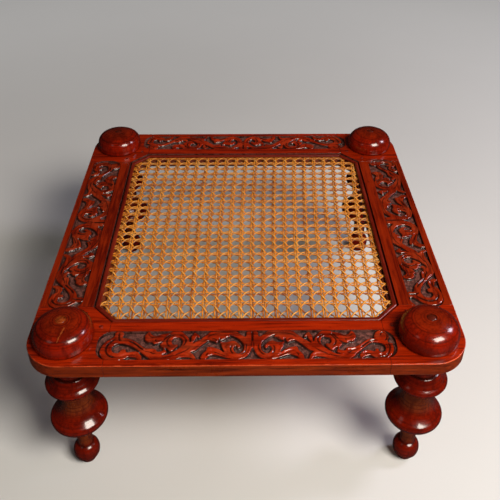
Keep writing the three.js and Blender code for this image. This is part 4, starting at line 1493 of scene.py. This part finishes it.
def add_strand(strands, corners, u, v, width, rise, bend):
    """One strand through places in the weave, cut off under the bead. It has the weave's rise and fall as its
    height, and bends and slowly wanders to the side, and all of that fades towards the bead."""
    sizes = strands.sizes
    line = weave_place(u, v, sizes)
    kept = inside_convex(line, corners)
    if kept.sum() < 4:
        return
    line, rise, bend = line[kept], rise[kept], bend[kept]
    along = distance_along(line)
    from_end = np.minimum(along, along[-1] - along)
    fade = smoothstep(from_end, sizes.flat_end, sizes.flat_end + sizes.fade)
    phases = strands.random.uniform(0, 2 * math.pi, 3)
    drift = sum(share * np.sin(along / span + phase) for (span, share), phase in zip(WANDER_WAVES, phases))
    tangent = np.gradient(line, axis=0)
    tangent /= np.hypot(*tangent.T)[:, None]
    across = np.stack([-tangent[:, 1], tangent[:, 0]], -1)
    line = line + ((sizes.wander * 0.5 * drift + bend) * fade)[:, None] * across
    height = rise * (0.35 + 0.65 * fade)
    dip = sizes.tuck * (1 - smoothstep(from_end, 0.0, sizes.tuck_length))
    sunk = np.clip(0.5 - 0.5 * height / sizes.diagonal_wave + 0.6 * dip, 0, 1)
    strands.add(np.column_stack([line, CANE_HEIGHT + height - dip]), width, along, sunk)


class SEAT_OT_cane(bpy.types.Operator):
    """Weaves the cane: pairs of strands both ways, and single strands along both diagonals"""

    bl_idname = "seat.cane"
    bl_label = "Cane"

    def execute(self, context):
        sizes = values_of(context.scene.seat_cane)
        skin = cane_skin("cane_skin", values_of(context.scene.seat_colours))
        corners = opening(BEAD_INSET + BEAD_WIDTH / 2)
        reach = int(HALF_DEPTH / sizes.pitch_across)
        run = np.arange(-reach, reach, sizes.step / sizes.pitch_across)
        upright_spread = sizes.upright_offset / sizes.pitch_across
        level_spread = sizes.level_offset / sizes.pitch_deep
        over_levels = sizes.pair_wave * pair_wave(from_pair(run), level_spread)
        over_uprights = sizes.pair_wave * pair_wave(from_pair(run), upright_spread)
        last_level = corners[:, 1].min() + sizes.front_gap
        uprights = StrandMesh(sizes, 21)
        levels = StrandMesh(sizes, 22)
        for middle in np.arange(-reach, reach) + 0.5:
            for sign in (-1, 1):
                place = middle + sign * upright_spread + 0 * run
                add_strand(uprights, corners, place, run, sizes.pair_width, sign * over_levels, 0 * run)
                place = middle + sign * level_spread + 0 * run
                if weave_place(0, middle, sizes)[1] > last_level:
                    add_strand(levels, corners, run, place, sizes.pair_width, -sign * over_uprights, 0 * run)
        uprights.finish("cane_uprights", skin, ("cane_seat",))
        levels.finish("cane_levels", skin, ("cane_seat",))

        for lean, name in ((1, "cane_rising"), (-1, "cane_falling")):
            strands = StrandMesh(sizes, 30 + lean)
            for i in range(-2 * reach, 2 * reach):
                u = run * math.sqrt(0.5) + i / 2
                v = lean * (run * math.sqrt(0.5) - i / 2) + 0.5
                rise = lean * sizes.diagonal_wave * np.cos(2 * math.pi * u)
                bend = -lean * sizes.bend * np.sin(2 * math.pi * u)
                add_strand(strands, corners, u, v, sizes.diagonal_width, rise, bend)
            strands.finish(name, skin, ("cane_seat",))
        return {"FINISHED"}


class SEAT_OT_cane_loops(bpy.types.Operator):
    """Lays the short cane loops from hole to hole under the frame"""

    bl_idname = "seat.cane_loops"
    bl_label = "Cane loops"

    def execute(self, context):
        sizes = values_of(context.scene.seat_cane)
        corners = opening(BEAD_INSET + BEAD_WIDTH / 2)
        loops = StrandMesh(sizes, 40)
        share = np.linspace(0.04, 0.96, 9)
        sag = np.minimum(1, 5 * np.minimum(share, 1 - share))
        height = FRAME_UNDERSIDE + sizes.loop_rise - sizes.loop_sag * sag**0.5
        for start, finish in zip(corners, np.roll(corners, -1, 0)):
            span = np.hypot(*(finish - start))
            holes = max(2, int(round(span / sizes.pitch_across)))
            places = start[None, :] + np.linspace(0, 1, holes + 1)[:, None] * (finish - start)[None, :]
            for a, b in zip(places[:-1], places[1:]):
                line = a[None, :] * (1 - share[:, None]) + b[None, :] * share[:, None]
                path = np.column_stack([line, height])
                loops.add(path, sizes.pair_width, share * span / holes, np.full(len(share), 0.4))
        loops.finish("cane_loops", bpy.data.materials["cane_skin"])
        return {"FINISHED"}


# Stage

# The lamps' and the walls' colours
WARM = (1.0, 0.93, 0.82)
LILAC = (0.9, 0.85, 1.0)
WALLS = (1.0, 0.97, 0.93)
# Half the floor's width, in metres
FLOOR_REACH = 6.0


def seat_camera(sizes):
    """The camera, placed from the middle of the frame's top and turned by its yaw, its pitch and its roll."""
    data = bpy.data.cameras.new("seat_camera")
    data.lens = sizes.lens
    data.shift_y = sizes.shift
    data.clip_end = 50
    camera = bpy.data.objects.new("seat_camera", data)
    place = (sizes.camera_right * MM, -sizes.camera_front * MM, (sizes.camera_above + FRAME_TOP) * MM)
    camera.matrix_world = (
        Matrix.Translation(place)
        @ Matrix.Rotation(-sizes.yaw, 4, "Z")
        @ Matrix.Rotation(math.pi / 2 - sizes.pitch, 4, "X")
        @ Matrix.Rotation(sizes.roll, 4, "Z")
    )
    return camera


def studio_floor(sizes, pale):
    """A flat square of plain floor. Away from the seat it glows a little for the camera, as painted light,
    and the lacquer mirrors it dimly."""
    reach = np.linspace(-FLOOR_REACH, FLOOR_REACH, 9)
    x, y = np.meshgrid(reach, reach, indexing="ij")
    points = np.stack([x, y, np.zeros_like(x)], -1).reshape(-1, 3)
    geometry = bpy.data.meshes.new("floor")
    geometry.from_pydata(points.tolist(), [], grid_faces(9, 9)[:, ::-1].tolist())
    skin = Skin("floor")
    ray = skin.add("LightPath").outputs
    tone = skin.ramp(skin.noise(skin.coordinates, 3.0, detail=3.0), 0.2, 0.8)
    seen = skin.mix(tone, scaled(pale, 0.97), pale)
    away = skin.ramp(skin.vector("LENGTH", skin.coordinates), 0.4, 1.6)
    lifted_glow = skin.times(ray["Is Camera Ray"], away)
    geometry.materials.append(skin.finish(
        Base_Color=skin.mix(ray["Is Glossy Ray"], seen, scaled(pale, sizes.reflected_floor)), Roughness=0.8,
        Emission_Color=skin.mix(lifted_glow, (0, 0, 0), (sizes.floor_lift,) * 3), Emission_Strength=1.0,
    ))
    return bpy.data.objects.new("floor", geometry)


def soft_light(name, place, wide, tall, power, tint):
    """A rectangular lamp aimed at the middle of the frame's top. Its place and its size are in metres."""
    lamp = bpy.data.lights.new(name, "AREA")
    lamp.shape = "RECTANGLE"
    lamp.size = wide
    lamp.size_y = tall
    lamp.energy = power
    lamp.color = tint
    light = bpy.data.objects.new(name, lamp)
    light.location = place
    aim = Vector((0, 0, FRAME_TOP * MM)) - light.location
    light.rotation_euler = aim.to_track_quat("-Z", "Y").to_euler()
    return light


def studio_world(sizes):
    """Plain studio walls: pale to the camera, but dim as light on the seat and in its lacquer's mirror."""
    world = bpy.data.worlds.new("studio")
    world.use_nodes = True
    walls = world.node_tree.nodes["Background"]
    shader = Shader(world.node_tree)
    ray = shader.add("LightPath").outputs
    seen = shader.mix(ray["Is Camera Ray"], (sizes.surroundings,) * 3, (sizes.backdrop,) * 3)
    shader.feed(walls.inputs["Color"], WALLS)
    shader.feed(walls.inputs["Strength"], shader.mix(ray["Is Glossy Ray"], seen, (sizes.reflected,) * 3))
    return world


class SEAT_OT_stage(bpy.types.Operator):
    """Sets up the floor, the camera and the soft studio light"""

    bl_idname = "seat.stage"
    bl_label = "Stage"

    def execute(self, context):
        scene = context.scene
        sizes = values_of(scene.seat_stage)
        camera = seat_camera(sizes)
        floor = studio_floor(sizes, values_of(scene.seat_colours).floor)
        lights = (
            soft_light("key_light", (0.75, -0.95, 1.35), 0.78, 0.56, sizes.key_power, WARM),
            soft_light("side_light", (1.35, 0.15, 1.15), 0.3, 0.36, sizes.side_power, LILAC),
            soft_light("fill_light", (-0.95, -0.75, 1.25), 0.34, 0.34, sizes.fill_power, WARM),
        )
        for made in (camera, floor, *lights):
            scene.collection.objects.link(made)
        scene.camera = camera
        scene.world = studio_world(sizes)
        scene.view_settings.view_transform = "Standard"
        return {"FINISHED"}


OPERATORS = (
    SEAT_OT_stage, SEAT_OT_frame, SEAT_OT_carving, SEAT_OT_legs, SEAT_OT_knobs, SEAT_OT_beads, SEAT_OT_pegs,
    SEAT_OT_cane, SEAT_OT_cane_loops,
)


class SEAT_PT_sidebar(bpy.types.Panel):
    """Lists the operators that build the seat"""

    bl_idname = "SEAT_PT_sidebar"
    bl_label = "Cane Seat"
    bl_space_type = "VIEW_3D"
    bl_region_type = "UI"
    bl_category = "Cane Seat"

    def draw(self, context):
        for operator in OPERATORS:
            self.layout.operator(operator.bl_idname)


def register():
    for group in GROUPS.values():
        bpy.utils.register_class(group)
    for name, group in GROUPS.items():
        setattr(bpy.types.Scene, name, bpy.props.PointerProperty(type=group))
    for operator in OPERATORS:
        bpy.utils.register_class(operator)
    bpy.utils.register_class(SEAT_PT_sidebar)


def unregister():
    bpy.utils.unregister_class(SEAT_PT_sidebar)
    for operator in reversed(OPERATORS):
        bpy.utils.unregister_class(operator)
    for name, group in GROUPS.items():
        delattr(bpy.types.Scene, name)
        bpy.utils.unregister_class(group)


def main():
    register()
    for operator in OPERATORS:
        area, name = operator.bl_idname.split(".")
        getattr(getattr(bpy.ops, area), name)()


if __name__ == "__main__":
    main()
